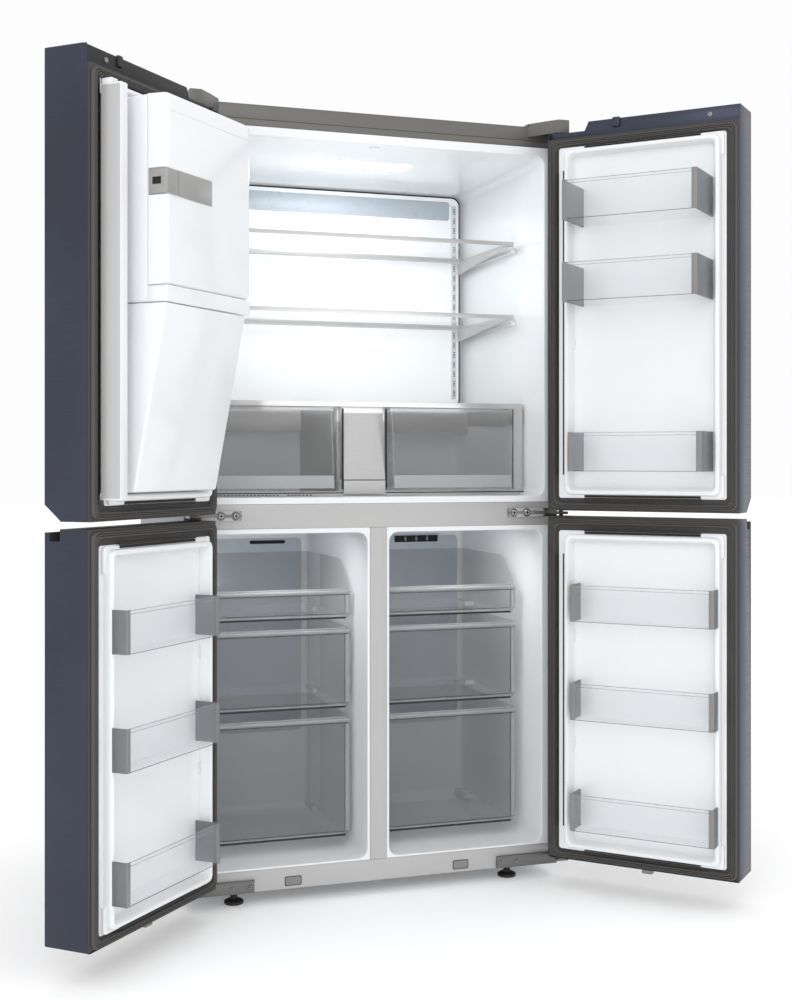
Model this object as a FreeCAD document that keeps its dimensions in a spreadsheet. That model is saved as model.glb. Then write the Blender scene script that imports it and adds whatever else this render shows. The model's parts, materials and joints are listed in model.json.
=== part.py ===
import FreeCAD, Part
import os
import re
import Sketcher

os.makedirs("parts", exist_ok=True)

doc = FreeCAD.newDocument("refrigerator")

# Driving dimensions in millimetres. Across is X, back is +Y, up is Z, and the floor is Z = 0.
# Heights are above the floor, and depths are behind the cabinet's front plane.
# On a door, "u" is the distance from the centre line of the closed refrigerator and "rise" is the
# distance from the door's inner face towards the inside of the cabinet.
sizes = {
    "cabinet_width": 908,
    "cabinet_depth": 635,
    "cabinet_base": 28,
    "cabinet_top": 1805,
    "front_plane": -92.5,
    "steel": 1.2,
    "flange": 23,
    "rail_thickness": 3,
    "top_rail_base": 1757,
    "middle_rail_base": 848,
    "middle_rail_top": 903,
    "bottom_rail_top": 78,
    "divider_half": 20,
    "lip": 0.5,
    "wall": 2,
    "liner_depth": 540,
    "freezer_step_depth": 487,
    "freezer_step_height": 290,
    "fridge_half": 420,
    "fridge_floor": 918,
    "fridge_ceiling": 1736,
    "freezer_inner": 27,
    "freezer_outer": 413,
    "freezer_floor": 83,
    "freezer_ceiling": 836,
    "duct_depth": 485,
    "machine_depth": 520,
    "machine_top": 250,
    "machine_half": 430,
    "shelf_half": 395,
    "shelf_front": 125,
    "shelf_back": 468,
    "glass": 4,
    "top_shelf": 1546,
    "low_shelf": 1364,
    "cover_top": 1143,
    "cover_front": 105,
    "crisper_base": 931,
    "crisper_top": 1133,
    "crisper_toe": 88,
    "crisper_brow": 112,
    "crisper_back": 455,
    "tray_wall": 2.5,
    "drawer_front": 95,
    "drawer_inner": 38,
    "drawer_outer": 388,
    "drawer_lip": 9,
    "drawer_back": 470,
    "side_rise": 66,
    "bottom_drawer_top": 395,
    "middle_drawer_top": 606,
    "top_drawer_top": 699,
    "door_edge": 1.5,
    "door_half": 454,
    "door_thickness": 105,
    "door_skin": 0.8,
    "gasket_gap": 10,
    "gasket_rise": 9,
    "lower_door_base": 68,
    "lower_door_top": 871,
    "upper_door_base": 885,
    "upper_door_top": 1795,
    "hinge_across": 439.5,
    "hinge_out": 54.4,
    "door_swing": 133.08,
    "pin_radius": 5,
    "pin_clearance": 0.05,
    "bracket": 6,
    "bracket_half": 13,
    "bracket_end": 452.5,
    "plate_thickness": 3.2,
    "face_thickness": 3.8,
    "top_face_inner": 385,
    "middle_face_inner": 325,
    "lower_face_inner": 295,
    "arm_base": 1783,
    "middle_arm_base": 875,
    "lower_arm_base": 52,
    "notch_inner": 368,
    "notch_base": 1774,
    "frame_top": 1758,
    "cap_sink": 14,
    "cover_inner": 376,
    "cover_outer": 453.6,
    "cover_base": 1780,
    "hinge_cover_top": 1811,
    "cover_wall": 1.5,
    "dyke_rise": 24,
    "dyke_sink": 30,
    "dyke_outer": 408,
    "dyke_gap": 4,
    "dyke_corner": 14,
    "sheet_thickness": 4,
    "dyke_width": 16,
    "gasket_outer": 447,
    "gasket_width": 15,
    "grip_depth": 36,
    "bin_inset": 6,
    "lower_bin_outer": 376,
    "upper_bin_outer": 368,
    "bin_rear": 27,
    "lower_bin_inner": 42,
    "lower_bin_rise": 57,
    "upper_bin_inner": 60,
    "lower_bin_height": 86,
    "upper_bin_height": 90,
    "mullion_across": 22,
    "mullion_rise": 10,
    "mullion_half": 23.5,
    "mullion_thickness": 25,
    "mullion_base": 926,
    "mullion_top": 1720,
    "mullion_pin": 1.6,
    "ice_inner": 76,
    "ice_outer": 390,
    "ice_base": 1306,
    "ice_top": 1706,
    "ice_rise": 80,
    "ice_door_rise": 124,
    "ice_door_base": 1339,
    "ice_hinge": 384.5,
    "ice_hinge_rise": 86,
    "ice_corner": 5.5,
    "ice_pin": 2.5,
    "chute_outer": 375,
    "chute_base": 940,
    "recess_inner": 130,
    "recess_outer": 330,
    "recess_base": 1140,
    "recess_top": 1600,
    "niche_top": 1490,
    "paddle_inner": 205,
    "paddle_outer": 255,
    "paddle_base": 1260,
    "paddle_axis": 1400,
    "paddle_rise": -58,
    "foot_radius": 22,
    "foot_height": 10,
    "foot_across": 335,
    "roller_radius": 23,
    "roller_width": 24,
    "roller_across": 368,
    "axle_radius": 4,
    "axle_depth": 590,
    "compressor_radius": 52,
    "compressor_across": 190,
    "bay_front": 530,
    "bay_back": 624,
    "bay_middle": 577,
    "fan_height": 110,
    "hub_radius": 14,
    "fan_shaft": 2.5,
    "pan_legs": 20,
    "pan_height": 40,
}

sheet = doc.addObject("Spreadsheet::Sheet", "Sizes")
for row, (alias, number) in enumerate(sizes.items(), 1):
    sheet.set(f"A{row}", alias)
    sheet.set(f"B{row}", str(number))
    sheet.setAlias(f"B{row}", alias)
doc.recompute()

nodes = []


def linked(text):
    """Turn the names in a size's text into references to the sheet."""
    return re.sub(r"[a-z_]+", lambda word: "Sizes." + word.group(0), str(text))


def bind(thing, prop, text):
    thing.setExpression(prop, linked(text))


def number(text):
    return float(sheet.evalExpression(linked(text)))


def box(x, y, z):
    """A box between (low, high) pairs along each axis."""
    solid = doc.addObject("Part::Box", "Box")
    for axis, side, (low, high) in zip("xyz", ("Length", "Width", "Height"), (x, y, z)):
        bind(solid, side, f"({high}) - ({low})")
        bind(solid, f"Placement.Base.{axis}", low)
    return solid


def cylinder(centre, radius, length, along="z"):
    """A cylinder from its centre of one end, along an axis."""
    solid = doc.addObject("Part::Cylinder", "Cylinder")
    bind(solid, "Radius", radius)
    bind(solid, "Height", length)
    for axis, place in zip("xyz", centre):
        bind(solid, f"Placement.Base.{axis}", place)
    turn = {"x": ((0, 1, 0), 90), "y": ((1, 0, 0), -90), "z": ((0, 0, 1), 0)}[along]
    solid.Placement.Rotation = FreeCAD.Rotation(FreeCAD.Vector(*turn[0]), turn[1])
    return solid


def fuse(*parts):
    solid = doc.addObject("Part::MultiFuse", "Fuse")
    solid.Shapes = list(parts)
    solid.Refine = True
    return solid


def cut(base, *tools):
    solid = doc.addObject("Part::Cut", "Cut")
    solid.Base = base
    solid.Tool = tools[0] if len(tools) == 1 else fuse(*tools)
    return solid


def group(*parts):
    """Separate solids that share one node."""
    solids = doc.addObject("Part::Compound", "Group")
    solids.Links = list(parts)
    return solids


def node(label, solid):
    solid.Label = label
    nodes.append(solid)
    return solid


def outline(body, role, points, start):
    """A closed sketch on one of the body's planes, each corner bound to the sheet."""
    sketch = body.newObject("Sketcher::SketchObject", "Sketch")
    plane = next(f for f in body.Origin.OriginFeatures if f.Role == role)
    sketch.AttachmentSupport = (plane, [""])
    sketch.MapMode = "FlatFace"
    bind(sketch, "AttachmentOffset.Base.z", start)
    places = [FreeCAD.Vector(number(x), number(y), 0) for x, y in points]
    count = len(points)
    for index in range(count):
        sketch.addGeometry(Part.LineSegment(places[index], places[(index + 1) % count]))
    for index in range(count):
        sketch.addConstraint(Sketcher.Constraint("Coincident", index, 2, (index + 1) % count, 1))
    for index, corner in enumerate(points):
        for kind, text, place in zip(("DistanceX", "DistanceY"), corner, places[index]):
            added = sketch.addConstraint(Sketcher.Constraint(kind, -1, 1, index, 1, place))
            sketch.renameConstraint(added, f"{kind}{index}")
            bind_name = f"Constraints.{kind}{index}"
            sketch.setExpression(bind_name, linked(text))
    return sketch


def pad(body, role, points, start, length, toward=1):
    """Add material from the sketch plane; toward -1 goes against the plane's own direction."""
    feature = body.newObject("PartDesign::Pad", "Pad")
    feature.Profile = outline(body, role, points, start)
    bind(feature, "Length", length)
    feature.Reversed = toward < 0
    return feature


def pocket(body, role, points, start, length, toward=1):
    """Take material away; a pocket goes against the plane unless it is reversed."""
    feature = body.newObject("PartDesign::Pocket", "Pocket")
    feature.Profile = outline(body, role, points, start)
    bind(feature, "Length", length)
    feature.Reversed = toward > 0
    return feature


def rectangle(x, y):
    return [(x[0], y[0]), (x[1], y[0]), (x[1], y[1]), (x[0], y[1])]


def new_body():
    return doc.addObject("PartDesign::Body", "Body")


def round_edges(body, base, radius, pick):
    """Fillet the edges of the last feature that pick() accepts."""
    doc.recompute()
    names = [f"Edge{i}" for i, edge in enumerate(base.Shape.Edges, 1) if pick(edge)]
    feature = body.newObject("PartDesign::Fillet", "Fillet")
    feature.Base = (base, names)
    bind(feature, "Radius", radius)
    body.Tip = feature
    return feature


def runs_along(edge, axis, least):
    """True for a straight edge along an axis that is longer than the given length."""
    if len(edge.Vertexes) != 2:
        return False
    span = edge.Vertexes[1].Point - edge.Vertexes[0].Point
    return abs(abs(span[axis]) - edge.Length) < 0.01 and edge.Length > least


def behind(depth):
    """The Y of a depth behind the cabinet's front plane."""
    return f"front_plane + ({depth})"


def tray(x, profile, inner, wall="tray_wall"):
    """An open tray: a side profile in Y and Z made hollow by a smaller one."""
    body = new_body()
    pad(body, "YZ_Plane", profile, x[0], f"({x[1]}) - ({x[0]})")
    pocket(body, "YZ_Plane", inner, f"({x[0]}) + {wall}", f"({x[1]}) - ({x[0]}) - 2 * {wall}")
    return body


def mirrored(side, low, high):
    """A (low, high) pair on the right side, or its mirror image on the left."""
    if side > 0:
        return (low, high)
    return (f"-({high})", f"-({low})")


# ---------------------------------------------------------------- cabinet

half = "cabinet_width / 2"


def make_wrapper():
    outside = box((f"-{half}", half), (behind("0"), behind("cabinet_depth")), ("cabinet_base", "cabinet_top"))
    inside = box(
        (f"-({half} - steel)", f"{half} - steel"),
        (behind("steel"), behind("cabinet_depth + 1")),
        ("cabinet_base - 1", "cabinet_top - steel"),
    )
    mouth = box(
        (f"-({half} - flange)", f"{half} - flange"),
        (behind("-1"), behind("steel + 1")),
        ("cabinet_base - 1", "cabinet_top - steel"),
    )
    node("cabinet_wrapper", cut(outside, inside, mouth))


def make_liner(x, z, depths, lip_x, lip_z):
    """A vacuum-formed box, open at the front, with a lip around its mouth.

    depths is one depth, or a (depth, step depth, step height) group."""
    full, low, step = depths
    front = behind("0")
    outer = [
        (front, f"{z[0]} - wall"),
        (behind(f"{low} + wall"), f"{z[0]} - wall"),
        (behind(f"{low} + wall"), f"{step} - wall"),
        (behind(f"{full} + wall"), f"{step} - wall"),
        (behind(f"{full} + wall"), f"{z[1]} + wall"),
        (front, f"{z[1]} + wall"),
    ]
    inner = [
        (behind("-5"), z[0]),
        (behind(low), z[0]),
        (behind(low), step),
        (behind(full), step),
        (behind(full), z[1]),
        (behind("-5"), z[1]),
    ]
    if low == full:
        outer = rectangle((front, behind(f"{full} + wall")), (f"{z[0]} - wall", f"{z[1]} + wall"))
        inner = rectangle((behind("-5"), behind(full)), z)
    body = new_body()
    pad(body, "YZ_Plane", outer, f"{x[0]} - wall", f"({x[1]}) - ({x[0]}) + 2 * wall")
    pad(body, "XZ_Plane", rectangle(lip_x, lip_z), f"-({front})", "wall", toward=-1)
    hollow = pocket(body, "YZ_Plane", inner, x[0], f"({x[1]}) - ({x[0]})")
    body.Tip = hollow
    inside = (number(x[0]), number(x[1]))

    def corner(edge):
        place = edge.Vertexes[0].Point
        on_wall = min(abs(place.x - inside[0]), abs(place.x - inside[1])) < 0.01
        return runs_along(edge, 1, 300) and on_wall

    round_edges(body, hollow, "20", corner)
    return body


def make_liners():
    upper = make_liner(
        ("-fridge_half", "fridge_half"),
        ("fridge_floor", "fridge_ceiling"),
        ("liner_depth", "liner_depth", "0"),
        (f"-({half} - flange - lip)", f"{half} - flange - lip"),
        ("middle_rail_top + lip", "top_rail_base - lip"),
    )
    node("upper_liner", upper)
    for side, name in ((-1, "lower_left_liner"), (1, "lower_right_liner")):
        body = make_liner(
            mirrored(side, "freezer_inner", "freezer_outer"),
            ("freezer_floor", "freezer_ceiling"),
            ("liner_depth", "freezer_step_depth", "freezer_step_height"),
            mirrored(side, "divider_half + lip", f"{half} - flange - lip"),
            ("bottom_rail_top + lip", "middle_rail_base - lip"),
        )
        ledges = []
        for base in drawer_bases:
            height = (f"{base} - 14", f"{base} - 0.4")
            depth = (behind("112"), behind("478"))
            ledges.append(box(mirrored(side, "freezer_inner", "freezer_inner + 20"), depth, height))
            ledges.append(box(mirrored(side, "freezer_outer - 40", "freezer_outer"), depth, height))
        node(name, fuse(body, *ledges))


def make_insulation():
    block = box(
        (f"-({half} - steel)", f"{half} - steel"),
        (behind("rail_thickness"), behind("cabinet_depth - steel")),
        ("cabinet_base + wall", "cabinet_top - steel"),
    )
    rooms = [
        box(
            ("-fridge_half - wall", "fridge_half + wall"),
            (behind("0"), behind("liner_depth + wall")),
            ("fridge_floor - wall", "fridge_ceiling + wall"),
        ),
        box(
            ("-machine_half", "machine_half"),
            (behind("machine_depth"), behind("cabinet_depth")),
            ("cabinet_base", "machine_top"),
        ),
    ]
    for side in (-1, 1):
        across = mirrored(side, "freezer_inner - wall", "freezer_outer + wall")
        rooms.append(
            box(
                across,
                (behind("0"), behind("freezer_step_depth + wall")),
                ("freezer_floor - wall", "freezer_ceiling + wall"),
            )
        )
        rooms.append(
            box(
                across,
                (behind("freezer_step_depth"), behind("liner_depth + wall")),
                ("freezer_step_height - wall", "freezer_ceiling + wall"),
            )
        )
    node("cabinet_insulation", cut(block, *rooms))


def make_rails():
    across = (f"-({half} - flange)", f"{half} - flange")
    depth = (behind("0"), behind("rail_thickness"))
    rails = [
        box(across, depth, ("top_rail_base", "cabinet_top - steel")),
        box(across, depth, ("middle_rail_base", "middle_rail_top")),
        box(across, depth, ("cabinet_base + wall", "bottom_rail_top")),
    ]
    node("front_rails", group(*rails))
    cover = box(
        ("-divider_half", "divider_half"),
        (behind("-1"), behind("rail_thickness")),
        ("bottom_rail_top + lip", "middle_rail_base - lip"),
    )
    node("divider_cover", cover)


def make_back():
    depth = (behind("cabinet_depth - steel"), behind("cabinet_depth"))
    panel = box(
        (f"-({half} - steel)", f"{half} - steel"),
        depth,
        ("machine_top + 1", "cabinet_top - steel"),
    )
    node("cabinet_back", panel)
    cover = box((f"-({half} - steel)", f"{half} - steel"), depth, ("cabinet_base + wall", "machine_top"))
    slots = [
        box((f"{x}", f"{x} + 90"), depth, (f"{z}", f"{z} + 5"))
        for x in (-400, -290, -180, 90, 200, 310)
        for z in range(80, 220, 20)
    ]
    node("machine_cover", cut(cover, *slots))


def make_base():
    """Base plate with wells for the rear rollers and ears that hold their axle."""
    plate = box(
        (f"-({half} - steel)", f"{half} - steel"),
        (behind("steel"), behind("cabinet_depth - steel")),
        ("cabinet_base", "cabinet_base + wall"),
    )
    ears = []
    wells = []
    wheels = []
    depth = behind("axle_depth")
    for side in (-1, 1):
        across = mirrored(side, "roller_across - 4", "roller_across + roller_width + 4")
        wells.append(
            box(across, (behind("axle_depth - 30"), behind("axle_depth + 30")), ("0", "2 * roller_radius"))
        )
        ears.append(
            box(
                mirrored(side, "roller_across - 22", "roller_across - 16"),
                (behind("axle_depth - 10"), behind("axle_depth + 10")),
                ("roller_radius - 11", "cabinet_base"),
            )
        )
        start = mirrored(side, "roller_across", "roller_across + roller_width")[0]
        wheels.append(cylinder((start, depth, "roller_radius"), "roller_radius", "roller_width", "x"))
    bore_start = (f"-({half})", depth, "roller_radius")
    bore = cylinder(bore_start, "axle_radius + pin_clearance", "cabinet_width", "x")
    node("base_plate", cut(fuse(plate, *ears), bore, *wells))
    shaft = cylinder(
        ("-(roller_across + 2)", depth, "roller_radius"), "axle_radius", "2 * (roller_across + 2)", "x"
    )
    node("rear_rollers", fuse(shaft, *wheels))


def make_feet():
    feet = []
    for side in (-1, 1):
        centre = (f"{side} * foot_across", behind("30"))
        pad_disc = cylinder((*centre, "0"), "foot_radius", "foot_height")
        stem = cylinder((*centre, "foot_height"), "foot_radius / 3", "cabinet_base - foot_height")
        feet.append(fuse(pad_disc, stem))
    node("levelling_feet", group(*feet))


def make_machine():
    """Compressor, condenser with its fan, and drain pan behind the lower compartments."""
    floor = "cabinet_base + wall"
    middle = behind("bay_middle")
    bay = (behind("bay_front"), behind("bay_back"))
    shell = cylinder(("compressor_across", middle, f"{floor} + 8"), "compressor_radius", "150")
    foot = box(("compressor_across - 70", "compressor_across + 70"), bay, (floor, f"{floor} + 8"))
    dome = doc.addObject("Part::Sphere", "Dome")
    bind(dome, "Radius", "compressor_radius")
    for axis, place in zip("xyz", ("compressor_across", middle, f"{floor} + 158")):
        bind(dome, f"Placement.Base.{axis}", place)
    node("compressor", fuse(shell, foot, dome))

    fins = [box((f"{x}", f"{x} + 2"), bay, (floor, f"{floor} + 150")) for x in range(-290, -150, 9)]
    tubes = [
        cylinder(("-292", behind(f"bay_middle + {offset}"), f"{z}"), "4", "148", "x")
        for offset in (-32, 0, 32)
        for z in (60, 105, 150)
    ]
    motor = cylinder(("-128", middle, "fan_height"), "hub_radius + 4", "34", "x")
    shaft = cylinder(("-94", middle, "fan_height"), "fan_shaft", "22", "x")
    stand = box(
        ("-124", "-104"), (behind("bay_middle - 5"), behind("bay_middle + 5")), (floor, "fan_height - 16")
    )
    node("condenser", group(fuse(*fins, *tubes), fuse(motor, shaft, stand)))
    make_fan(middle)

    pan_base = f"{floor} + pan_legs"
    profile = rectangle(bay, (pan_base, f"{pan_base} + pan_height"))
    inner = rectangle(
        (behind("bay_front + wall"), behind("bay_back - wall")),
        (f"{pan_base} + wall", f"{pan_base} + pan_height + 10"),
    )
    pan = tray(("-425", "-310"), profile, inner, "wall")
    legs = [box(x, bay, (floor, pan_base)) for x in (("-425", "-402"), ("-356", "-312"))]
    node("drain_pan", fuse(pan, *legs))

    coils = [
        cylinder(("-380", behind("514"), f"{z}"), "5", "340", "x") for z in range(380, 700, 40)
    ]
    plates = [
        box((f"{x}", f"{x} + 2"), (behind("496"), behind("532")), ("360", "690"))
        for x in range(-370, -50, 40)
    ]
    node("evaporator", fuse(*coils, *plates))


def make_fan(middle):
    """Five-bladed condenser fan, bored for the motor's shaft."""
    body = new_body()
    bind(body, "Placement.Base.x", "-90")
    bind(body, "Placement.Base.y", middle)
    bind(body, "Placement.Base.z", "fan_height")
    sketch = body.newObject("Sketcher::SketchObject", "HubSketch")
    plane = next(f for f in body.Origin.OriginFeatures if f.Role == "YZ_Plane")
    sketch.AttachmentSupport = (plane, [""])
    sketch.MapMode = "FlatFace"
    centre = FreeCAD.Vector(0, 0, 0)
    rings = (("hub", "hub_radius"), ("bore", "fan_shaft + pin_clearance"))
    for index, (name, radius) in enumerate(rings):
        sketch.addGeometry(Part.Circle(centre, FreeCAD.Vector(0, 0, 1), number(radius)))
        sketch.addConstraint(Sketcher.Constraint("Coincident", index, 3, -1, 1))
        added = sketch.addConstraint(Sketcher.Constraint("Radius", index, number(radius)))
        sketch.renameConstraint(added, name)
        bind(sketch, f"Constraints.{name}", radius)
    hub = body.newObject("PartDesign::Pad", "Hub")
    hub.Profile = sketch
    bind(hub, "Length", "18")
    blade = pad(body, "YZ_Plane", rectangle(("-9", "9"), ("hub_radius - 2", "47")), "7", "3")
    doc.recompute()
    blades = body.newObject("PartDesign::PolarPattern", "Blades")
    blades.Originals = [blade]
    axis = next(f for f in body.Origin.OriginFeatures if f.Role == "X_Axis")
    blades.Axis = (axis, [""])
    blades.Angle = 360
    blades.Occurrences = 5
    body.Tip = blades
    node("condenser_fan", body)


# ---------------------------------------------------------------- fresh food compartment


def make_ducts():
    """Panels that hide the air ducts, and the slotted tracks that the shelves hang on."""
    depth = (behind("duct_depth"), behind("duct_depth + rail_thickness"))
    upper = box(
        ("-fridge_half + 24", "fridge_half - 24"),
        depth,
        ("cover_top + 6", "fridge_ceiling - 24"),
    )
    tracks = [
        box(
            (f"{x} - 9", f"{x} + 9"),
            (behind("duct_depth - 5"), behind("duct_depth + 0.5")),
            ("cover_top + 20", "fridge_ceiling - 40"),
        )
        for x in (-372, 372)
    ]
    panels = [fuse(upper, *tracks)]
    for side in (-1, 1):
        panels.append(
            box(
                mirrored(side, "freezer_inner + 22", "freezer_outer - 22"),
                depth,
                ("freezer_step_height + 6", "freezer_ceiling - 22"),
            )
        )
    node("duct_panels", group(*panels))
    light = box(
        ("-150", "150"),
        (behind("180"), behind("330")),
        ("fridge_ceiling - 7", "fridge_ceiling - 0.2"),
    )
    node("ceiling_light", light)


def make_shelves():
    """Each shelf is a glass plate in a frame that hooks onto the rear tracks."""
    plates = []
    frames = []
    for top in ("top_shelf", "low_shelf"):
        under = f"{top} - glass"
        plates.append(
            box(
                ("-shelf_half + 6", "shelf_half - 6"),
                (behind("shelf_front + 3"), behind("shelf_back - 3")),
                (under, top),
            )
        )
        pieces = [
            box(
                ("-shelf_half", "shelf_half"),
                (behind("shelf_front"), behind("shelf_front + 3")),
                (f"{under} - 5", f"{top} + 1"),
            ),
            box(
                ("-shelf_half", "shelf_half"),
                (behind("shelf_back - 3"), behind("shelf_back")),
                (f"{under} - 5", f"{top} + 5"),
            ),
        ]
        for side in (-1, 1):
            body = new_body()
            arm = [
                (behind("shelf_front"), f"{under} - 5"),
                (behind("shelf_back"), f"{under} - 34"),
                (behind("duct_depth - 5.3"), f"{under} - 34"),
                (behind("duct_depth - 5.3"), under),
                (behind("shelf_front"), under),
            ]
            low, high = mirrored(side, "shelf_half - 12", "shelf_half - 9")
            pad(body, "YZ_Plane", arm, low, "3")
            pieces.append(body)
            pieces.append(
                box(
                    mirrored(side, "shelf_half - 6", "shelf_half"),
                    (behind("shelf_front"), behind("shelf_back")),
                    (f"{under} - 5", f"{top} + 0.5"),
                )
            )
            pieces.append(
                box(
                    mirrored(side, "shelf_half - 12", "shelf_half"),
                    (behind("shelf_front"), behind("shelf_back")),
                    (f"{under} - 2", under),
                )
            )
        frames.append(fuse(*pieces))
    node("shelf_glass", group(*plates))
    node("shelf_frames", group(*frames))


def make_crispers():
    glass = box(
        ("-404", "404"),
        (behind("cover_front + 4"), behind("shelf_back")),
        ("cover_top - 5", "cover_top"),
    )
    node("crisper_cover", glass)
    under = "cover_top - 5"
    parts = [
        box(
            ("-408", "408"),
            (behind("cover_front"), behind("cover_front + 4")),
            ("cover_top - 12", "cover_top"),
        ),
    ]
    for x in (-408, 404):
        parts.append(
            box(
                (f"{x}", f"{x} + 4"),
                (behind("cover_front"), behind("shelf_back")),
                ("cover_top - 48", "cover_top"),
            )
        )
    for x in (-64, 52):
        parts.append(
            box(
                (f"{x}", f"{x} + 4"),
                (behind("126"), behind("shelf_back")),
                ("fridge_floor + 0.3", under),
            )
        )
    front_edge = (behind("cover_front + 4"), behind("cover_front + 16"))
    parts.append(box(("-404", "404"), front_edge, (f"{under} - 3", under)))
    parts.append(
        box(("-404", "404"), (behind("shelf_back - 10"), behind("shelf_back")), (f"{under} - 60", under))
    )
    for side in (-1, 1):
        parts.append(
            box(
                mirrored(side, "386", "410"),
                (behind("cover_front"), behind("cover_front + 6")),
                ("fridge_floor + 8", "cover_top - 10"),
            )
        )
    parts.append(
        box(
            ("-398", "398"),
            (behind("cover_front - 6"), behind("cover_front + 2")),
            ("fridge_floor + lip", "crisper_base - 1.5"),
        )
    )
    node("crisper_frame", fuse(*parts))

    profile = [
        (behind("crisper_toe"), "crisper_base"),
        (behind("crisper_back"), "crisper_base"),
        (behind("crisper_back"), "crisper_top - 3"),
        (behind("crisper_brow"), "crisper_top - 3"),
    ]
    inner = [
        (behind("crisper_toe + 4"), "crisper_base + tray_wall"),
        (behind("crisper_back - tray_wall"), "crisper_base + tray_wall"),
        (behind("crisper_back - tray_wall"), "crisper_top + 10"),
        (behind("crisper_brow + 5"), "crisper_top + 10"),
    ]
    node("left_crisper", tray(("-382", "-72"), profile, inner))
    node("right_crisper", tray(("60", "382"), profile, inner))

    body = new_body()
    cover = [
        (behind("crisper_toe + 3"), "crisper_base + 26"),
        (behind("125"), "crisper_base + 26"),
        (behind("125"), "crisper_top"),
        (behind("crisper_brow"), "crisper_top"),
    ]
    pad(body, "YZ_Plane", cover, "-57", "104")
    lower = box(
        ("-57", "47"), (behind("crisper_toe + 2"), behind("98")), ("crisper_base - 8", "crisper_base + 24")
    )
    node("filter_cover", group(body, lower))


# ---------------------------------------------------------------- freezer drawers

drawer_bases = ("112", "416", "627")
drawer_tops = ("bottom_drawer_top", "middle_drawer_top", "top_drawer_top")


def make_drawers():
    for side, name in ((-1, "left"), (1, "right")):
        for level, base, top in zip(("bottom", "middle", "top"), drawer_bases, drawer_tops):
            front = "drawer_front"
            profile = rectangle((behind(front), behind("drawer_back")), (base, top))
            if level == "top":
                profile[2:] = [
                    (behind("drawer_back"), f"{top} + side_rise"),
                    (behind(f"{front} + 6 + 1.2 * side_rise"), f"{top} + side_rise"),
                    (behind(f"{front} + 6"), top),
                    (behind(front), top),
                ]
            inner = [
                (behind(f"{front} + tray_wall"), f"{base} + tray_wall"),
                (behind("drawer_back - tray_wall"), f"{base} + tray_wall"),
                (behind("drawer_back - tray_wall"), "900"),
                (behind(f"{front} + tray_wall"), "900"),
            ]
            across = mirrored(side, "drawer_inner", "drawer_outer")
            body = tray(across, profile, inner)
            lip = box(
                across,
                (behind(f"{front} - drawer_lip"), behind(f"{front} + 1")),
                (f"{top} - 12", f"{top} - 3"),
            )
            node(f"{name}_{level}_drawer", fuse(body, lip))


# ---------------------------------------------------------------- doors

bin_bases = {
    "lower_left_door": ("150", "405", "631"),
    "lower_right_door": ("150", "405", "631"),
    "upper_right_door": ("977", "1360", "1545"),
    "upper_left_door": (),
}


def across_door(side, low, high):
    """The door's own X of two distances from the centre line; its origin is the hinge axis."""
    if side > 0:
        return (f"({low}) - hinge_across", f"({high}) - hinge_across")
    return (f"hinge_across - ({high})", f"hinge_across - ({low})")


def rise(distance):
    """The door's own Y of a distance from its inner face towards the cabinet."""
    return f"({distance}) + hinge_out - gasket_gap"


def door_box(side, across, risen, height):
    return box(across_door(side, *across), tuple(rise(r) for r in risen), height)


def hang(side, label, *solids):
    """Put solids made in a door's own frame on its hinge, with the door open."""
    piece = group(*solids)
    bind(piece, "Placement.Base.x", f"{side} * hinge_across")
    bind(piece, "Placement.Base.y", "front_plane - hinge_out")
    bind(piece, "Placement.Rotation.Axis.z", "1")
    bind(piece, "Placement.Rotation.Angle", f"{side} * door_swing")
    return node(label, piece)


def grip_cut(side, upper, base, top):
    """The finger space along the edge where an upper and a lower door meet."""
    face = "-door_thickness"
    ends = across_door(side, "0", "door_half + 1")
    body = new_body()
    if upper:
        points = [
            (rise(f"{face} - 1"), f"{base} - 1"),
            (rise(f"{face} + grip_depth"), f"{base} - 1"),
            (rise(f"{face} + grip_depth"), f"{base} + 2"),
            (rise(f"{face} - 1"), f"{base} + 33"),
        ]
    else:
        points = [
            (rise(f"{face} - 1"), f"{top} - 7"),
            (rise(f"{face} + 11"), f"{top} - 7"),
            (rise(f"{face} + 11"), f"{top} - 24"),
            (rise(f"{face} + grip_depth"), f"{top} - 24"),
            (rise(f"{face} + grip_depth"), f"{top} + 1"),
            (rise(f"{face} - 1"), f"{top} + 1"),
        ]
    pad(body, "YZ_Plane", points, ends[0], "door_half + 1")
    return body


def hinge_notch(side):
    """The step in an upper door's top edge that clears the hinge arm."""
    inner, outer = across_door(side, "notch_inner", "door_half + 1")
    start = inner if side > 0 else outer
    end = outer if side > 0 else inner
    body = new_body()
    points = [
        (f"{start} - {side} * 10", "upper_door_top + 1"),
        (start, "notch_base"),
        (end, "notch_base"),
        (end, "upper_door_top + 1"),
    ]
    pad(body, "XZ_Plane", points, f"-({rise('-door_thickness - 1')})", "door_thickness + 3", toward=-1)
    return body


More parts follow.
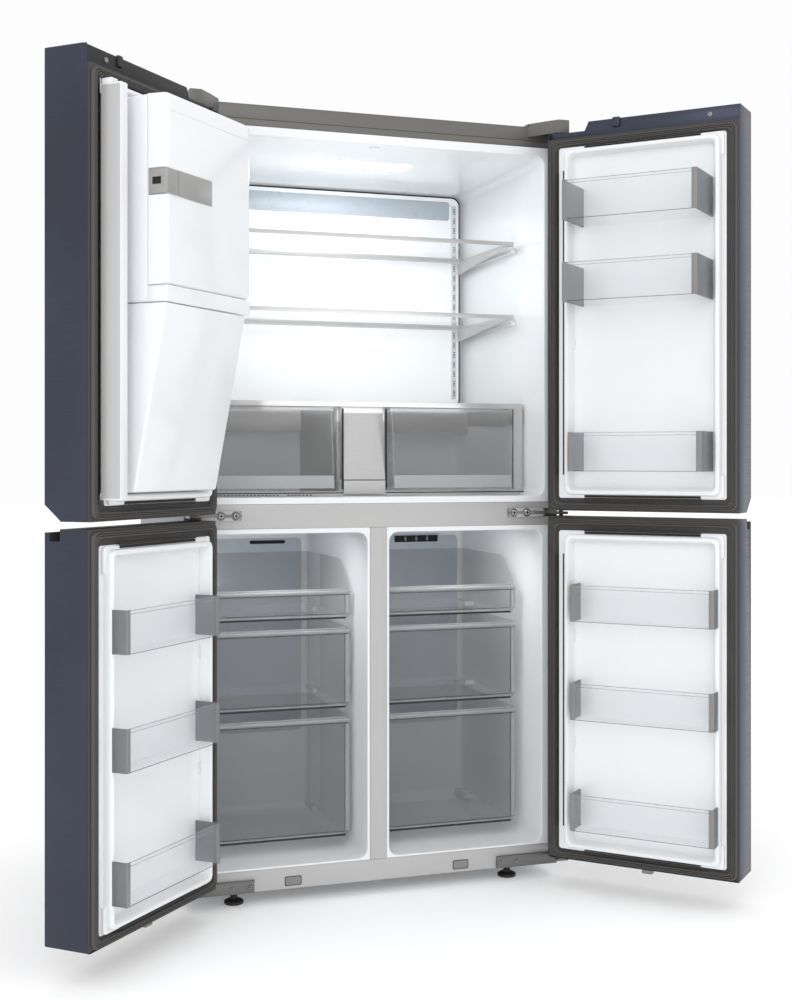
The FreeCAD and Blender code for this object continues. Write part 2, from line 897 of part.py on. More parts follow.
def make_door(side, upper, name):
    base, top = ("upper_door_base", "upper_door_top") if upper else ("lower_door_base", "lower_door_top")
    dispenser = upper and side < 0
    pan_base = "fridge_floor + dyke_gap" if upper else f"{base} + 32"
    pan_top = "fridge_ceiling - 2 * dyke_gap" if upper else "freezer_ceiling - dyke_gap"
    inner_edge = "54" if dispenser else "38"

    def shared_cuts():
        tools = [grip_cut(side, upper, base, top)]
        if upper:
            tools.append(hinge_notch(side))
        if dispenser:
            tools.append(
                door_box(
                    side,
                    ("recess_inner - 2", "recess_outer + 2"),
                    ("-door_thickness - 5", "-38"),
                    ("recess_base - 2", "recess_top + 2"),
                )
            )
        return tools

    shell = door_box(
        side, ("door_edge", "door_half"), ("-door_thickness", "-6"), (f"{base} + 1", f"{top} - 1")
    )
    across = ("door_edge + door_skin", "door_half - door_skin")
    hollow = door_box(side, across, ("-door_thickness + door_skin", "0"), (base, top))
    hang(side, f"{name}_skin", cut(shell, hollow, *shared_cuts()))

    core = door_box(side, across, ("-door_thickness + door_skin", "0"), (base, top))
    pan_outer = (f"{inner_edge} + sheet_thickness", "dyke_outer - sheet_thickness")
    pan_height = (f"{pan_base} + sheet_thickness", f"{pan_top} - sheet_thickness")
    pin_top = "notch_base" if upper else top
    core_cuts = [
        door_box(side, pan_outer, ("-dyke_sink - 2", "1"), pan_height),
        cylinder(("0", "0", f"{base} - 1"), "pin_radius + pin_clearance", "33"),
        cylinder(("0", "0", f"{pin_top} - 32"), "pin_radius + pin_clearance", "33"),
        *shared_cuts(),
    ]
    if upper:
        core_cuts.append(
            door_box(side, ("0", "door_half + 1"), ("-cap_sink", "1"), ("frame_top", f"{top} + 1"))
        )
    solid = cut(core, *core_cuts)
    if dispenser:
        solid = fuse(solid, *mullion_lugs(side))
    hang(side, f"{name}_core", solid)

    body = make_door_pan(side, dispenser, inner_edge, pan_outer, (pan_base, pan_top), pan_height)
    bosses = []
    for bin_base in bin_bases[name]:
        height = (f"{bin_base} + 20", f"{bin_base} + 60")
        boss_end = "53.9 + bin_inset" if upper else "55.9"
        boss_start = "upper_bin_outer + 0.1" if upper else "lower_bin_outer + 0.1"
        for ends in ((f"{inner_edge} + dyke_width - 1", boss_end), (boss_start, "393")):
            bosses.append(door_box(side, ends, ("-24", "dyke_rise - 4"), height))
    hang(side, f"{name}_liner", fuse(body, *bosses) if bosses else body)

    seal_top = "frame_top - 7" if upper else f"{top} - 5"
    ring = door_box(side, ("5", "gasket_outer"), ("0", "gasket_rise"), (f"{base} + 5", seal_top))
    inside = door_box(
        side,
        ("4 + gasket_width", "gasket_outer - gasket_width"),
        ("-1", "gasket_rise + 1"),
        (f"{base} + 5 + gasket_width", f"{seal_top} - gasket_width"),
    )
    hang(side, f"{name}_gasket", cut(ring, inside))


def make_door_pan(side, dispenser, inner_edge, pan_outer, height, sunk_height):
    """The door's inner panel: a flange, a raised rim and a sunk floor in one sheet."""
    body = new_body()
    ends = across_door(side, inner_edge, "dyke_outer")
    room = across_door(side, f"{inner_edge} + dyke_width", "dyke_outer - dyke_width")
    flange = across_door(side, "50" if dispenser else "28", "426")
    floor = rise("0")
    flat = rectangle(flange, (f"{height[0]} - 6", f"{height[1]} + 6"))
    pad(body, "XZ_Plane", flat, f"-({floor})", "1.5", toward=-1)
    rim = pad(body, "XZ_Plane", rectangle(ends, height), f"-({floor})", "dyke_rise", toward=-1)
    round_edges(body, rim, "dyke_corner", lambda edge: runs_along(edge, 1, number("dyke_rise") - 5))
    sunk = rectangle(across_door(side, *pan_outer), sunk_height)
    pad(body, "XZ_Plane", sunk, f"-({rise('-dyke_sink - 2')})", "dyke_sink + 3", toward=-1)
    hollow = rectangle(room, (f"{height[0]} + dyke_width", f"{height[1]} - dyke_width"))
    pocket(
        body, "XZ_Plane", hollow, f"-({rise('-dyke_sink')})", "dyke_sink + dyke_rise + 5", toward=-1
    )
    return body


def bin_solid(side, ends, deep, base, height, inset):
    """A door bin: its rear sits inside the liner and its front stands over the liner's edge."""
    low, high = ends
    back = f"54 + {inset}"
    rear = door_box(
        side, (back, high), ("-bin_rear", "dyke_rise + 12"), (base, f"{base} + {height}")
    )
    over = ("dyke_rise + 1.5", deep)
    front = door_box(side, (low, f"{high} + 2"), over, (base, f"{base} + {height}"))
    inside = (f"{base} + tray_wall", f"{base} + {height} + 5")
    rear_room = door_box(
        side,
        (f"{back} + tray_wall", f"{high} - tray_wall"),
        ("-bin_rear + tray_wall", "dyke_rise + 12"),
        inside,
    )
    front_room = door_box(
        side,
        (f"{low} + tray_wall", f"{high} + 2 - tray_wall"),
        ("dyke_rise + 1.5 + tray_wall", f"{deep} - tray_wall"),
        inside,
    )
    return cut(fuse(rear, front), rear_room, front_room)


def make_bins():
    lower_ends = ("lower_bin_inner", "lower_bin_outer")
    upper_ends = ("upper_bin_inner", "upper_bin_outer")
    for side, name in ((-1, "left"), (1, "right")):
        bases = bin_bases[f"lower_{name}_door"]
        solids = [
            bin_solid(side, lower_ends, "lower_bin_rise", base, "lower_bin_height", "2")
            for base in bases
        ]
        hang(side, f"lower_{name}_bins", *solids)
    uppers = [
        bin_solid(1, upper_ends, deep, base, "upper_bin_height", "bin_inset")
        for deep, base in zip(("92", "127", "127"), bin_bases["upper_right_door"])
    ]
    hang(1, "upper_right_bins", *uppers)


def make_ice_maker():
    """Ice compartment on the upper left door, with its own insulated door, latch and chute."""
    side = -1
    across = ("ice_inner", "ice_outer")
    axis = (across_door(side, "ice_hinge", "ice_hinge")[0], rise("ice_hinge_rise"))
    shell = door_box(side, across, ("-dyke_sink", "ice_rise"), ("ice_base", "ice_top"))
    room = door_box(
        side,
        ("ice_inner + 12", "ice_outer - 12"),
        ("-16", "ice_rise + 10"),
        ("ice_base + 45", "ice_top - 12"),
    )
    band = door_box(side, across, ("ice_rise - 1", "ice_door_rise"), ("ice_base", "ice_door_base - 0.5"))
    ear_height = ("ice_top + 0.5", "ice_top + 4.5")
    ear_across = ("ice_outer - 14", "ice_outer")
    ear = door_box(side, ear_across, ("ice_rise - 10", "ice_rise + 16"), ear_height)
    seat = door_box(side, ear_across, ("ice_rise - 10", "ice_rise"), ("ice_top - 1", "ice_top + 1"))
    pin_base = "ice_door_base - 12"
    hole = cylinder((*axis, pin_base), "ice_pin + pin_clearance", f"ice_top - ({pin_base}) + 20")
    housing = cut(fuse(cut(shell, room), band, ear, seat), hole)
    hang(side, "ice_housing", housing)

    slab = door_box(side, across, ("ice_rise + 0.5", "ice_door_rise"), ("ice_door_base", "ice_top"))
    corner = door_box(
        side,
        ("ice_hinge", "ice_outer + 1"),
        ("ice_rise", "ice_hinge_rise"),
        ("ice_door_base - 1", "ice_top + 1"),
    )
    barrel = cylinder((*axis, "ice_door_base"), "ice_corner", "ice_top - ice_door_base")
    pin = cylinder((*axis, "ice_door_base - 10"), "ice_pin", "ice_top - ice_door_base + 14")
    notch = door_box(side, ("70", "79.5"), ("83", "126"), ("1510", "1562"))
    hang(side, "ice_door", fuse(cut(slab, notch, corner), barrel, pin))

    height = ("1512", "1560")
    wing = door_box(side, ("73.5", "75.7"), ("84", "126.6"), height)
    face = door_box(side, ("73.5", "112"), ("124.4", "126.6"), height)
    slot = door_box(side, ("72", "77"), ("92", "112"), ("1530", "1544"))
    hang(side, "ice_latch", cut(fuse(wing, face), slot))

    body = new_body()
    outer = [
        (rise("-dyke_sink"), "chute_base"),
        (rise("50"), "chute_base"),
        (rise("122"), "ice_base - 1"),
        (rise("-dyke_sink"), "ice_base - 1"),
    ]
    inner = [
        (rise("-40"), "chute_base + 3"),
        (rise("47"), "chute_base + 3"),
        (rise("118"), "ice_base - 4"),
        (rise("-40"), "ice_base - 4"),
    ]
    start = across_door(side, "ice_inner", "chute_outer")[0]
    pad(body, "YZ_Plane", outer, start, "chute_outer - ice_inner")
    pocket(body, "YZ_Plane", inner, f"{start} + 3", "chute_outer - ice_inner - 6")
    hang(side, "ice_chute", body)


def mullion_lugs(side):
    """Ears on the door's inner face that carry the folding mullion's pins."""
    x, _ = across_door(side, "mullion_across", "mullion_across")
    lugs = []
    across = ("mullion_across - 2.6", "mullion_across + 4")
    heights = (
        ("mullion_base - 7", "mullion_base - 0.5"),
        ("mullion_top + 10.5", "mullion_top + 15.5"),
    )
    for low, high in heights:
        lug = door_box(side, across, ("-1", "mullion_rise + 4"), (low, high))
        centre = (x, rise("mullion_rise"), low)
        hole = cylinder(centre, "mullion_pin + pin_clearance", f"({high}) - ({low})")
        lugs.append(cut(lug, hole))
    return lugs


def make_flip_mullion():
    """Folding bar on the free edge of the upper left door, stored folded while the door is open."""
    side = -1
    x, _ = across_door(side, "mullion_across", "mullion_across")
    bar = door_box(
        side,
        ("mullion_across", "mullion_across + mullion_thickness"),
        ("mullion_rise - 1.5", "mullion_rise - 1.5 + 2 * mullion_half"),
        ("mullion_base", "mullion_top"),
    )
    cap = door_box(
        side,
        ("mullion_across + 1", "mullion_across + mullion_thickness - 1"),
        ("mullion_rise", "mullion_rise - 3 + 2 * mullion_half"),
        ("mullion_top - 1", "mullion_top + 10"),
    )
    axis = (x, rise("mullion_rise"))
    upper_pin = cylinder((*axis, "mullion_top - 20"), "mullion_pin", "35.3")
    lower_pin = cylinder((*axis, "mullion_base - 6.7"), "mullion_pin", "26.7")
    hang(side, "flip_mullion", fuse(bar, cap, upper_pin, lower_pin))


def make_dispenser():
    """Water and ice dispenser in the outer face of the upper left door."""
    side = -1
    face = "-door_thickness"
    across = ("recess_inner + 4", "recess_outer - 4")
    bezel = door_box(
        side,
        ("recess_inner - 8", "recess_outer + 8"),
        (f"{face} - 2", f"{face} - 0.2"),
        ("recess_base - 8", "recess_top + 8"),
    )
    block = door_box(
        side, ("recess_inner", "recess_outer"), (f"{face} - 1", "-40"), ("recess_base", "recess_top")
    )
    niche = door_box(side, across, (f"{face} - 5", "-44"), ("recess_base + 10", "niche_top"))
    spout = cylinder((across_door(side, "230", "230")[0], rise("-80"), "niche_top - 40"), "13", "45")
    tray_plate = door_box(side, across, (f"{face} + 4", "-44"), ("recess_base + 9", "recess_base + 18"))
    ears = []
    for ends in (("paddle_inner - 14", "paddle_inner - 4"), ("paddle_outer + 4", "paddle_outer + 14")):
        ears.append(
            door_box(side, ends, ("paddle_rise - 8", "-43"), ("paddle_axis - 8", "paddle_axis + 8"))
        )
    axis = (rise("paddle_rise"), "paddle_axis")
    start = across_door(side, "paddle_inner - 14", "paddle_outer + 14")[0]
    length = "paddle_outer - paddle_inner + 28"
    bore = cylinder((start, *axis), "3 + pin_clearance", length, "x")
    housing = fuse(cut(fuse(bezel, block), niche), spout, tray_plate, *ears)
    hang(side, "dispenser", cut(housing, bore))
    lever = door_box(
        side,
        ("paddle_inner", "paddle_outer"),
        ("paddle_rise - 2", "paddle_rise + 2"),
        ("paddle_base", "paddle_axis"),
    )
    shaft = cylinder((f"{start} + 1", *axis), "3", f"{length} - 2", "x")
    hang(side, "dispenser_paddle", fuse(lever, shaft))


# ---------------------------------------------------------------- hinges


def hinge_cover(side):
    """Moulded cover over a top hinge, open underneath, with a slanted inner corner."""

    def prism(inset, low, high, back):
        body = new_body()
        points = [
            (f"{side} * (cover_inner + {inset})", behind(back)),
            (f"{side} * (405 + 0.5 * {inset})", behind(f"-42 + {inset}")),
            (f"{side} * 428", behind(f"-70 + {inset}")),
            (f"{side} * (cover_outer - {inset} / 2)", behind(f"-70 + {inset}")),
            (f"{side} * (cover_outer - {inset} / 2)", behind(back)),
        ]
        pad(body, "XY_Plane", points, low, f"({high}) - ({low})")
        return body

    roof = "hinge_cover_top - cover_wall"
    outer = prism("0", "cover_base", "hinge_cover_top", "-0.3")
    inner = prism("cover_wall", "cover_base - 1", roof, "0.5")
    across = mirrored(side, "cover_inner", "cover_outer")
    slab = box(across, (behind("-0.5"), behind("72")), ("cabinet_top + 0.3", "hinge_cover_top"))
    under = box(
        mirrored(side, "cover_inner + cover_wall", "cover_outer - cover_wall / 2"),
        (behind("-5"), behind("72 - cover_wall")),
        ("cabinet_top", roof),
    )
    return cut(fuse(outer, slab), inner, under)


def make_hinges():
    """Brackets with fixed pins: one above, one between and one below each pair of doors."""
    brackets = []
    covers = []
    reach = "front_plane - hinge_out - 12"
    face_depth = (behind("-0.2 - face_thickness"), behind("-0.2"))
    for side in (-1, 1):
        pin = (f"{side} * hinge_across", "front_plane - hinge_out")
        across = mirrored(side, "hinge_across - bracket_half", "bracket_end")
        face_across = mirrored(side, "top_face_inner", "bracket_end")
        plate_top = "cabinet_top + plate_thickness"
        arm = box(across, (reach, behind("-0.2")), ("arm_base", "arm_base + bracket"))
        face = box(face_across, face_depth, ("arm_base - 1", plate_top))
        plate = box(face_across, (face_depth[0], behind("66")), ("cabinet_top", plate_top))
        peg = cylinder((*pin, "notch_base - 25"), "pin_radius", "arm_base - notch_base + 25")
        brackets.append(fuse(arm, face, plate, peg))
        covers.append(hinge_cover(side))

        height = ("middle_arm_base", "middle_arm_base + bracket")
        arm = box(across, (reach, face_depth[1]), height)
        plate = box(
            mirrored(side, "middle_face_inner", "bracket_end"), (behind("-9"), face_depth[1]), height
        )
        face = box(
            mirrored(side, "middle_face_inner", "bracket_end"),
            face_depth,
            ("middle_arm_base - 7", "middle_arm_base + 13"),
        )
        peg = cylinder((*pin, "middle_arm_base - 29"), "pin_radius", "64")
        brackets.append(fuse(arm, plate, face, peg))

        arm = box(across, (reach, face_depth[1]), ("lower_arm_base", "lower_arm_base + bracket"))
        face = box(
            mirrored(side, "lower_face_inner", "bracket_end"),
            face_depth,
            ("cabinet_base + wall", "lower_arm_base + bracket"),
        )
        peg = cylinder((*pin, "lower_arm_base + bracket"), "pin_radius", "36")
        brackets.append(fuse(arm, face, peg))
    node("door_hinges", group(*brackets))
    node("hinge_covers", group(*covers))


make_wrapper()
make_liners()
make_insulation()
make_rails()
make_back()
make_base()
make_feet()
make_machine()
make_ducts()
make_shelves()
make_crispers()
make_drawers()
for side, name in ((-1, "left"), (1, "right")):
    make_door(side, False, f"lower_{name}_door")
    make_door(side, True, f"upper_{name}_door")
make_bins()
make_ice_maker()
make_flip_mullion()
make_dispenser()
make_hinges()

doc.recompute()
for thing in doc.Objects:
    if "Invalid" in thing.State or "Error" in thing.State:
        raise RuntimeError(f"{thing.Name} ({thing.Label}) did not recompute: {thing.State}")
for solid in nodes:
    if solid.Shape.isNull() or not solid.Shape.isValid() or not solid.Shape.Solids:
        raise RuntimeError(f"{solid.Label} has no valid shape")
for solid in nodes:
    solid.Shape.exportStep(f"parts/{solid.Label}.step")
    print(solid.Label, len(solid.Shape.Solids), round(solid.Shape.Volume / 1000), "cm3")
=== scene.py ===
import json
import math
import bmesh
import bpy
from mathutils import Matrix, Vector

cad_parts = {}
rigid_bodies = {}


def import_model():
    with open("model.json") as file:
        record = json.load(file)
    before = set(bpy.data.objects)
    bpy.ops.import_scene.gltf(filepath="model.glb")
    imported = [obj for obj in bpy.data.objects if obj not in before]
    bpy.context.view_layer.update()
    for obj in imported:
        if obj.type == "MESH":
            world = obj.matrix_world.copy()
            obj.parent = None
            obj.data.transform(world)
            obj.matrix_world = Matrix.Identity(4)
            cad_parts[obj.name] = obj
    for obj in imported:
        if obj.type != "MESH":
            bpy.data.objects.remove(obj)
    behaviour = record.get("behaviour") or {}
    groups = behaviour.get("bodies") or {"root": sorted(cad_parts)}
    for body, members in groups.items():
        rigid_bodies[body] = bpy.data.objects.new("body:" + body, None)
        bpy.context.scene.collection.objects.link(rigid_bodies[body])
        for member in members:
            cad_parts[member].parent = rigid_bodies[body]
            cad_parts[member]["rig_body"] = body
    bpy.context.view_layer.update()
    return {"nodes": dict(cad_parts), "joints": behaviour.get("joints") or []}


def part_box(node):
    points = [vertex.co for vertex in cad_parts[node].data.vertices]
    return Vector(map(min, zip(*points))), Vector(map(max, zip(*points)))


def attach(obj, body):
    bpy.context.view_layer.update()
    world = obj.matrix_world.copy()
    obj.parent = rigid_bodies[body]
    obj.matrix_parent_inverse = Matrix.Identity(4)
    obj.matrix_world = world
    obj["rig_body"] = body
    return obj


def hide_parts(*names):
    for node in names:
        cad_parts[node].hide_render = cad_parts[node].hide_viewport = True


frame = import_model()
joints = {joint["name"]: joint for joint in frame["joints"]}
bodyOf = {node: thing["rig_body"] for node, thing in frame["nodes"].items()}


def span(node, axis):
    low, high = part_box(node)
    return low[axis] * 1000, high[axis] * 1000  # millimetres


frontPlane = span("front_rails", 1)[0]
hinge = joints["upper_right_door_hinge"]
swing = -math.radians(hinge["range_deg"][0])
hingeAcross = hinge["pos_m"][0] * 1000
hingeOut = frontPlane - hinge["pos_m"][1] * 1000
gasketGap = 10


# ------------------------------------------------------------ spaces, in millimetres
def cabinetSpace():
    # x across, y behind the front plane, z up
    return Matrix.Translation((0, frontPlane / 1000, 0)) @ Matrix.Scale(0.001, 4)


def doorSpace(side):
    # x from the centre line to the hinge side, y from the inner face towards the inside, z up
    closed = Matrix((
        (side * 0.001, 0, 0, -side * hingeAcross / 1000),
        (0, 0.001, 0, (hingeOut - gasketGap) / 1000),
        (0, 0, 0.001, 0),
        (0, 0, 0, 1),
    ))
    opened = Matrix.Rotation(side * swing, 4, "Z")
    hinge = Matrix.Translation((side * hingeAcross / 1000, (frontPlane - hingeOut) / 1000, 0))
    return hinge @ opened @ closed


cabinet = cabinetSpace()
leftDoor = doorSpace(-1)
rightDoor = doorSpace(1)


# ------------------------------------------------------------ materials
def linear(hexText):
    def channel(value):
        value /= 255
        return value / 12.92 if value <= 0.04045 else ((value + 0.055) / 1.055) ** 2.4
    return tuple(channel(int(hexText[i:i + 2], 16)) for i in (1, 3, 5)) + (1,)


def addNode(tree, kind, settings=None, links=None):
    made = tree.nodes.new(kind)
    for name, value in (settings or {}).items():
        if isinstance(name, str) and hasattr(made, name):
            setattr(made, name, value)
        else:
            made.inputs[name].default_value = value
    for name, source in (links or {}).items():
        tree.links.new(source, made.inputs[name])
    return made


def finish(name, colour, roughness, metallic=0.0, ior=1.5, alpha=1.0, coat=0.0, glow=0.0,
           grain=None, spread=0.04, depth=0.0, mottle=0.08):
    # grain is the pattern's size along x, y and z in millimetres, depth the bump's height in millimetres
    made = bpy.data.materials.new(name)
    made.use_nodes = True
    tree = made.node_tree
    shader = tree.nodes["Principled BSDF"]
    shader.inputs["Metallic"].default_value = metallic
    shader.inputs["IOR"].default_value = ior
    shader.inputs["Alpha"].default_value = alpha
    shader.inputs["Coat Weight"].default_value = coat
    shader.inputs["Coat Roughness"].default_value = 0.08
    if glow:
        shader.inputs["Emission Color"].default_value = linear(colour)
        shader.inputs["Emission Strength"].default_value = glow
    place = addNode(tree, "ShaderNodeTexCoord").outputs["Object"]
    sizes = grain or (2, 2, 2)
    scaled = addNode(tree, "ShaderNodeMapping", {"Scale": tuple(1000 / s for s in sizes)}, {"Vector": place})
    fine = addNode(tree, "ShaderNodeTexNoise", {"Scale": 1.0, "Detail": 4.0, "Roughness": 0.6},
                   {"Vector": scaled.outputs["Vector"]})
    wide = addNode(tree, "ShaderNodeTexNoise", {"Scale": 3.0, "Detail": 2.0}, {"Vector": place})
    base = linear(colour)
    darker = tuple(c * (1 - mottle) for c in base[:3]) + (1,)
    both = addNode(tree, "ShaderNodeMath", {"operation": "MULTIPLY"},
                   {0: fine.outputs["Fac"], 1: wide.outputs["Fac"]})
    shade = addNode(tree, "ShaderNodeMapRange",
                    {"From Min": 0.12, "From Max": 0.38, "To Min": 0.0, "To Max": 1.0},
                    {"Value": both.outputs[0]})
    mixed = addNode(tree, "ShaderNodeMix", {"data_type": "RGBA"}, {0: shade.outputs["Result"]})
    mixed.inputs[6].default_value = darker
    mixed.inputs[7].default_value = base
    tree.links.new(mixed.outputs[2], shader.inputs["Base Color"])
    rough = addNode(tree, "ShaderNodeMapRange",
                    {"From Min": 0.3, "From Max": 0.7, "To Min": max(roughness - spread, 0.02),
                     "To Max": min(roughness + spread, 1.0)}, {"Value": fine.outputs["Fac"]})
    tree.links.new(rough.outputs["Result"], shader.inputs["Roughness"])
    if depth:
        bump = addNode(tree, "ShaderNodeBump", {"Strength": 1.0, "Distance": depth / 1000},
                       {"Height": fine.outputs["Fac"]})
        tree.links.new(bump.outputs["Normal"], shader.inputs["Normal"])
    return made


doorSteel = finish("brushedDarkStainless", "#454957", 0.38, metallic=0.8, grain=(60, 60, 0.5),
                   spread=0.12, depth=0.03, mottle=0.3)  # fine level lines stretch reflections sideways
coatedSteel = finish("powderCoatedSteel", "#7d7f83", 0.42, metallic=0.5, grain=(1.2, 1.2, 1.2),
                     depth=0.02)  # faint orange peel on a silver grey coat
railSteel = finish("satinPaintedRail", "#bdbcbb", 0.4, metallic=0.2, grain=(40, 40, 0.8),
                   depth=0.01, mottle=0.05)  # even light grey with a soft highlight
shadedRailSteel = finish("satinRailPaintedShade", "#6f6d69", 0.4, metallic=0.35, grain=(40, 40, 0.8),
                      depth=0.01, mottle=0.05)  # painted shade: the rail paint made darker and warmer where the top rail sits in shade
darkAbs = finish("texturedDarkAbs", "#383634", 0.5, grain=(0.8, 0.8, 0.8), depth=0.03,
                 mottle=0.12)  # warm dark grey with a fine spark texture
gasketPvc = finish("softGasketPvc", "#4b4845", 0.6, grain=(1.5, 1.5, 1.5),
                   depth=0.02)  # dull and a bit lighter
channelShadeBlack = finish("gasketChannelPaintedShade", "#262321", 0.7,
                      grain=(1.5, 1.5, 1.5))  # painted shade: near-black strips for the shadowed gaps beside the rim
whiteHips = finish("glossWhiteHips", "#eceef0", 0.18, ior=1.59, coat=0.2, grain=(30, 30, 30),
                   mottle=0.015, depth=0.02)  # vacuum formed, so its gloss waves a little
satinWhite = finish("satinWhiteAbs", "#e6e8ea", 0.32, ior=1.53, grain=(1, 1, 1), mottle=0.03,
                    depth=0.01)  # same white with the shine taken off
glowingPanelWhite = finish("whitePanelPaintedGlow", "#f3f5f7", 0.3, glow=0.22, grain=(20, 20, 20),
                    mottle=0.02)  # painted light: a faint glow added to brighten the white duct panel
coolBand = finish("coolGreyBand", "#c3ccd6", 0.3, grain=(20, 20, 20),
                  mottle=0.04)  # blue-grey duct outlet band
diffuser = finish("opalDiffuser", "#ffffff", 0.4, glow=9.0, grain=(3, 3, 3),
                  mottle=0.02)  # lamp cover that glows
smokyStyrene = finish("smokyStyrene", "#8a8988", 0.09, ior=1.59, alpha=0.15, coat=0.3, grain=(60, 60, 60),
                      mottle=0.04)  # grey see-through walls with clear gloss
smokyEdgeHighlight = finish("smokyStyreneEdgePaintedHighlight", "#bdbec0", 0.14, ior=1.59, alpha=0.45, coat=0.3, grain=(60, 60, 60),
                   mottle=0.03)  # painted highlight: a lighter, denser smoky grey for light gathered in the thick rims
smokyShadeLine = finish("smokyStyrenePaintedShadeLine", "#3b3a3a", 0.3, ior=1.59, alpha=0.7, grain=(60, 60, 60),
                   mottle=0.03)  # painted shade: darker smoky lines along rims and ends where the edges read dark
frosted = finish("frostedStyreneBand", "#c9cbce", 0.4, ior=1.59, alpha=0.6, grain=(1, 1, 1),
                 mottle=0.03)  # milky strip along the crisper's foot
clearStyrene = finish("clearStyrene", "#c4c9cd", 0.06, ior=1.59, alpha=0.1, coat=0.3, grain=(60, 60, 60),
                      mottle=0.03)  # nearly colourless, seen by its highlights
clearRimShade = finish("clearStyreneRimPaintedShade", "#9aa0a4", 0.12, ior=1.59, alpha=0.5, coat=0.3, grain=(60, 60, 60),
                  mottle=0.03)  # painted shade: a greyer, more opaque copy of the clear styrene where light runs along the rim
shelfGlass = finish("temperedShelfGlass", "#c6d4d3", 0.03, ior=1.52, alpha=0.12, grain=(90, 90, 90),
                    mottle=0.02)  # faint green-grey tint and sharp gloss
satinTrim = finish("satinAluminiumTrim", "#c6c5c4", 0.34, metallic=0.3, grain=(30, 0.6, 30), mottle=0.08,
                   depth=0.01)  # drawn aluminium look with fine lines
capGrey = finish("satinMetallicCap", "#8b8987", 0.34, metallic=0.3, grain=(0.6, 0.6, 20), mottle=0.1,
                 depth=0.01)  # metallised plastic with an upright brush
endSmoke = finish("smokedBinEnd", "#7b7d80", 0.3, metallic=0.1, alpha=0.78, grain=(0.6, 0.6, 20),
                  mottle=0.08)  # tinted end, half seen through
labelGrey = finish("satinLabelPlate", "#a2a19f", 0.34, metallic=0.3, grain=(20, 0.6, 0.6),
                   mottle=0.06)  # level brush
hingeSteel = finish("zincPlatedHinge", "#7c7b7a", 0.36, metallic=0.85, grain=(6, 6, 6), mottle=0.15,
                    depth=0.02)  # cool plated metal with a patchy sheen
screwSteel = finish("brightScrewSteel", "#a9aaad", 0.25, metallic=1.0, grain=(2, 2, 2),
                    mottle=0.1)  # turned head
galvanised = finish("galvanisedSheet", "#8f9498", 0.42, metallic=0.85, grain=(14, 14, 14),
                    mottle=0.2)  # zinc flakes of about 14 mm
blackEnamel = finish("blackEnamel", "#17181a", 0.3, grain=(1, 1, 1), coat=0.3,
                     depth=0.02)  # thick dipped paint
finSheet = finish("aluminiumFinSheet", "#b4b6b8", 0.35, metallic=1.0, grain=(5, 5, 5),
                  mottle=0.1)  # bare mill finish
blackGlass = finish("blackPanelGloss", "#0d0e10", 0.08, coat=0.6, grain=(50, 50, 50),
                    mottle=0.05)  # deep gloss panel
darkGap = finish("shadowGapBlack", "#121315", 0.7, grain=(2, 2, 2))  # unlit recess
footPlastic = finish("blackNylonFoot", "#1b1b1c", 0.55, grain=(1, 1, 1), depth=0.02)  # moulded nylon
foam = finish("foamedPolyurethane", "#d9c58a", 0.9, grain=(1.5, 1.5, 1.5), depth=0.3,
              mottle=0.2)  # porous cells
print("materials made")


# ------------------------------------------------------------ shapes
def ring(flat, level, first, second, radius, steps=5):
    # a rounded rectangle of points; flat names the two axes it lies in
    radius = max(min(radius, (first[1] - first[0]) / 2 - 0.01, (second[1] - second[0]) / 2 - 0.01), 0.01)
    centres = (
        (first[1] - radius, second[1] - radius, 0),
        (first[0] + radius, second[1] - radius, 90),
        (first[0] + radius, second[0] + radius, 180),
        (first[1] - radius, second[0] + radius, 270),
    )
    points = []
    for a, b, start in centres:
        for step in range(steps + 1):
            angle = math.radians(start + 90 * step / steps)
            p, q = a + radius * math.cos(angle), b + radius * math.sin(angle)
            points.append((p, level, q) if flat == "xz" else (p, q, level))
    return points


def ringPart(rings, loop=False):
    count = len(rings[0])
    points = [p for one in rings for p in one]
    faces = []
    pairs = list(zip(range(len(rings)), range(1, len(rings))))
    if loop:
        pairs.append((len(rings) - 1, 0))
    for a, b in pairs:
        for i in range(count):
            j = (i + 1) % count
            faces.append((a * count + i, a * count + j, b * count + j, b * count + i))
    if not loop:
        faces.append(tuple(range(count))[::-1])
        faces.append(tuple((len(rings) - 1) * count + i for i in range(count)))
    return points, faces


def block(x, y, z):
    points = [(a, b, c) for a in x for b in y for c in z]
    faces = [(0, 1, 3, 2), (4, 6, 7, 5), (0, 4, 5, 1), (2, 3, 7, 6), (0, 2, 6, 4), (1, 5, 7, 3)]
    return points, faces


def prism(outline, x):
    # an outline in y and z, drawn out along x
    count = len(outline)
    points = [(x[0], y, z) for y, z in outline] + [(x[1], y, z) for y, z in outline]
    faces = [tuple(range(count))[::-1], tuple(range(count, 2 * count))]
    for i in range(count):
        j = (i + 1) % count
        faces.append((i, j, count + j, count + i))
    return points, faces


def plate(outline, y):
    # an outline in x and z, drawn out along y
    count = len(outline)
    points = [(x, y[0], z) for x, z in outline] + [(x, y[1], z) for x, z in outline]
    faces = [tuple(range(count))[::-1], tuple(range(count, 2 * count))]
    for i in range(count):
        j = (i + 1) % count
        faces.append((i, j, count + j, count + i))
    return points, faces


def rod(start, end, radius, sides=24):
    start, end = Vector(start), Vector(end)
    along = (end - start).normalized()
    across = along.orthogonal().normalized()
    other = along.cross(across)
    points = []
    for centre in (start, end):
        for i in range(sides):
            angle = 2 * math.pi * i / sides
            points.append(tuple(centre + radius * (math.cos(angle) * across + math.sin(angle) * other)))
    faces = [tuple(range(sides))[::-1], tuple(range(sides, 2 * sides))]
    for i in range(sides):
        j = (i + 1) % sides
        faces.append((i, j, sides + j, sides + i))
    return points, faces


def inset(pair, amount):
    return pair[0] + amount, pair[1] - amount


def smooth(mesh, angle=38):
    mesh.shade_smooth()
    mesh.set_sharp_from_angle(angle=math.radians(angle))


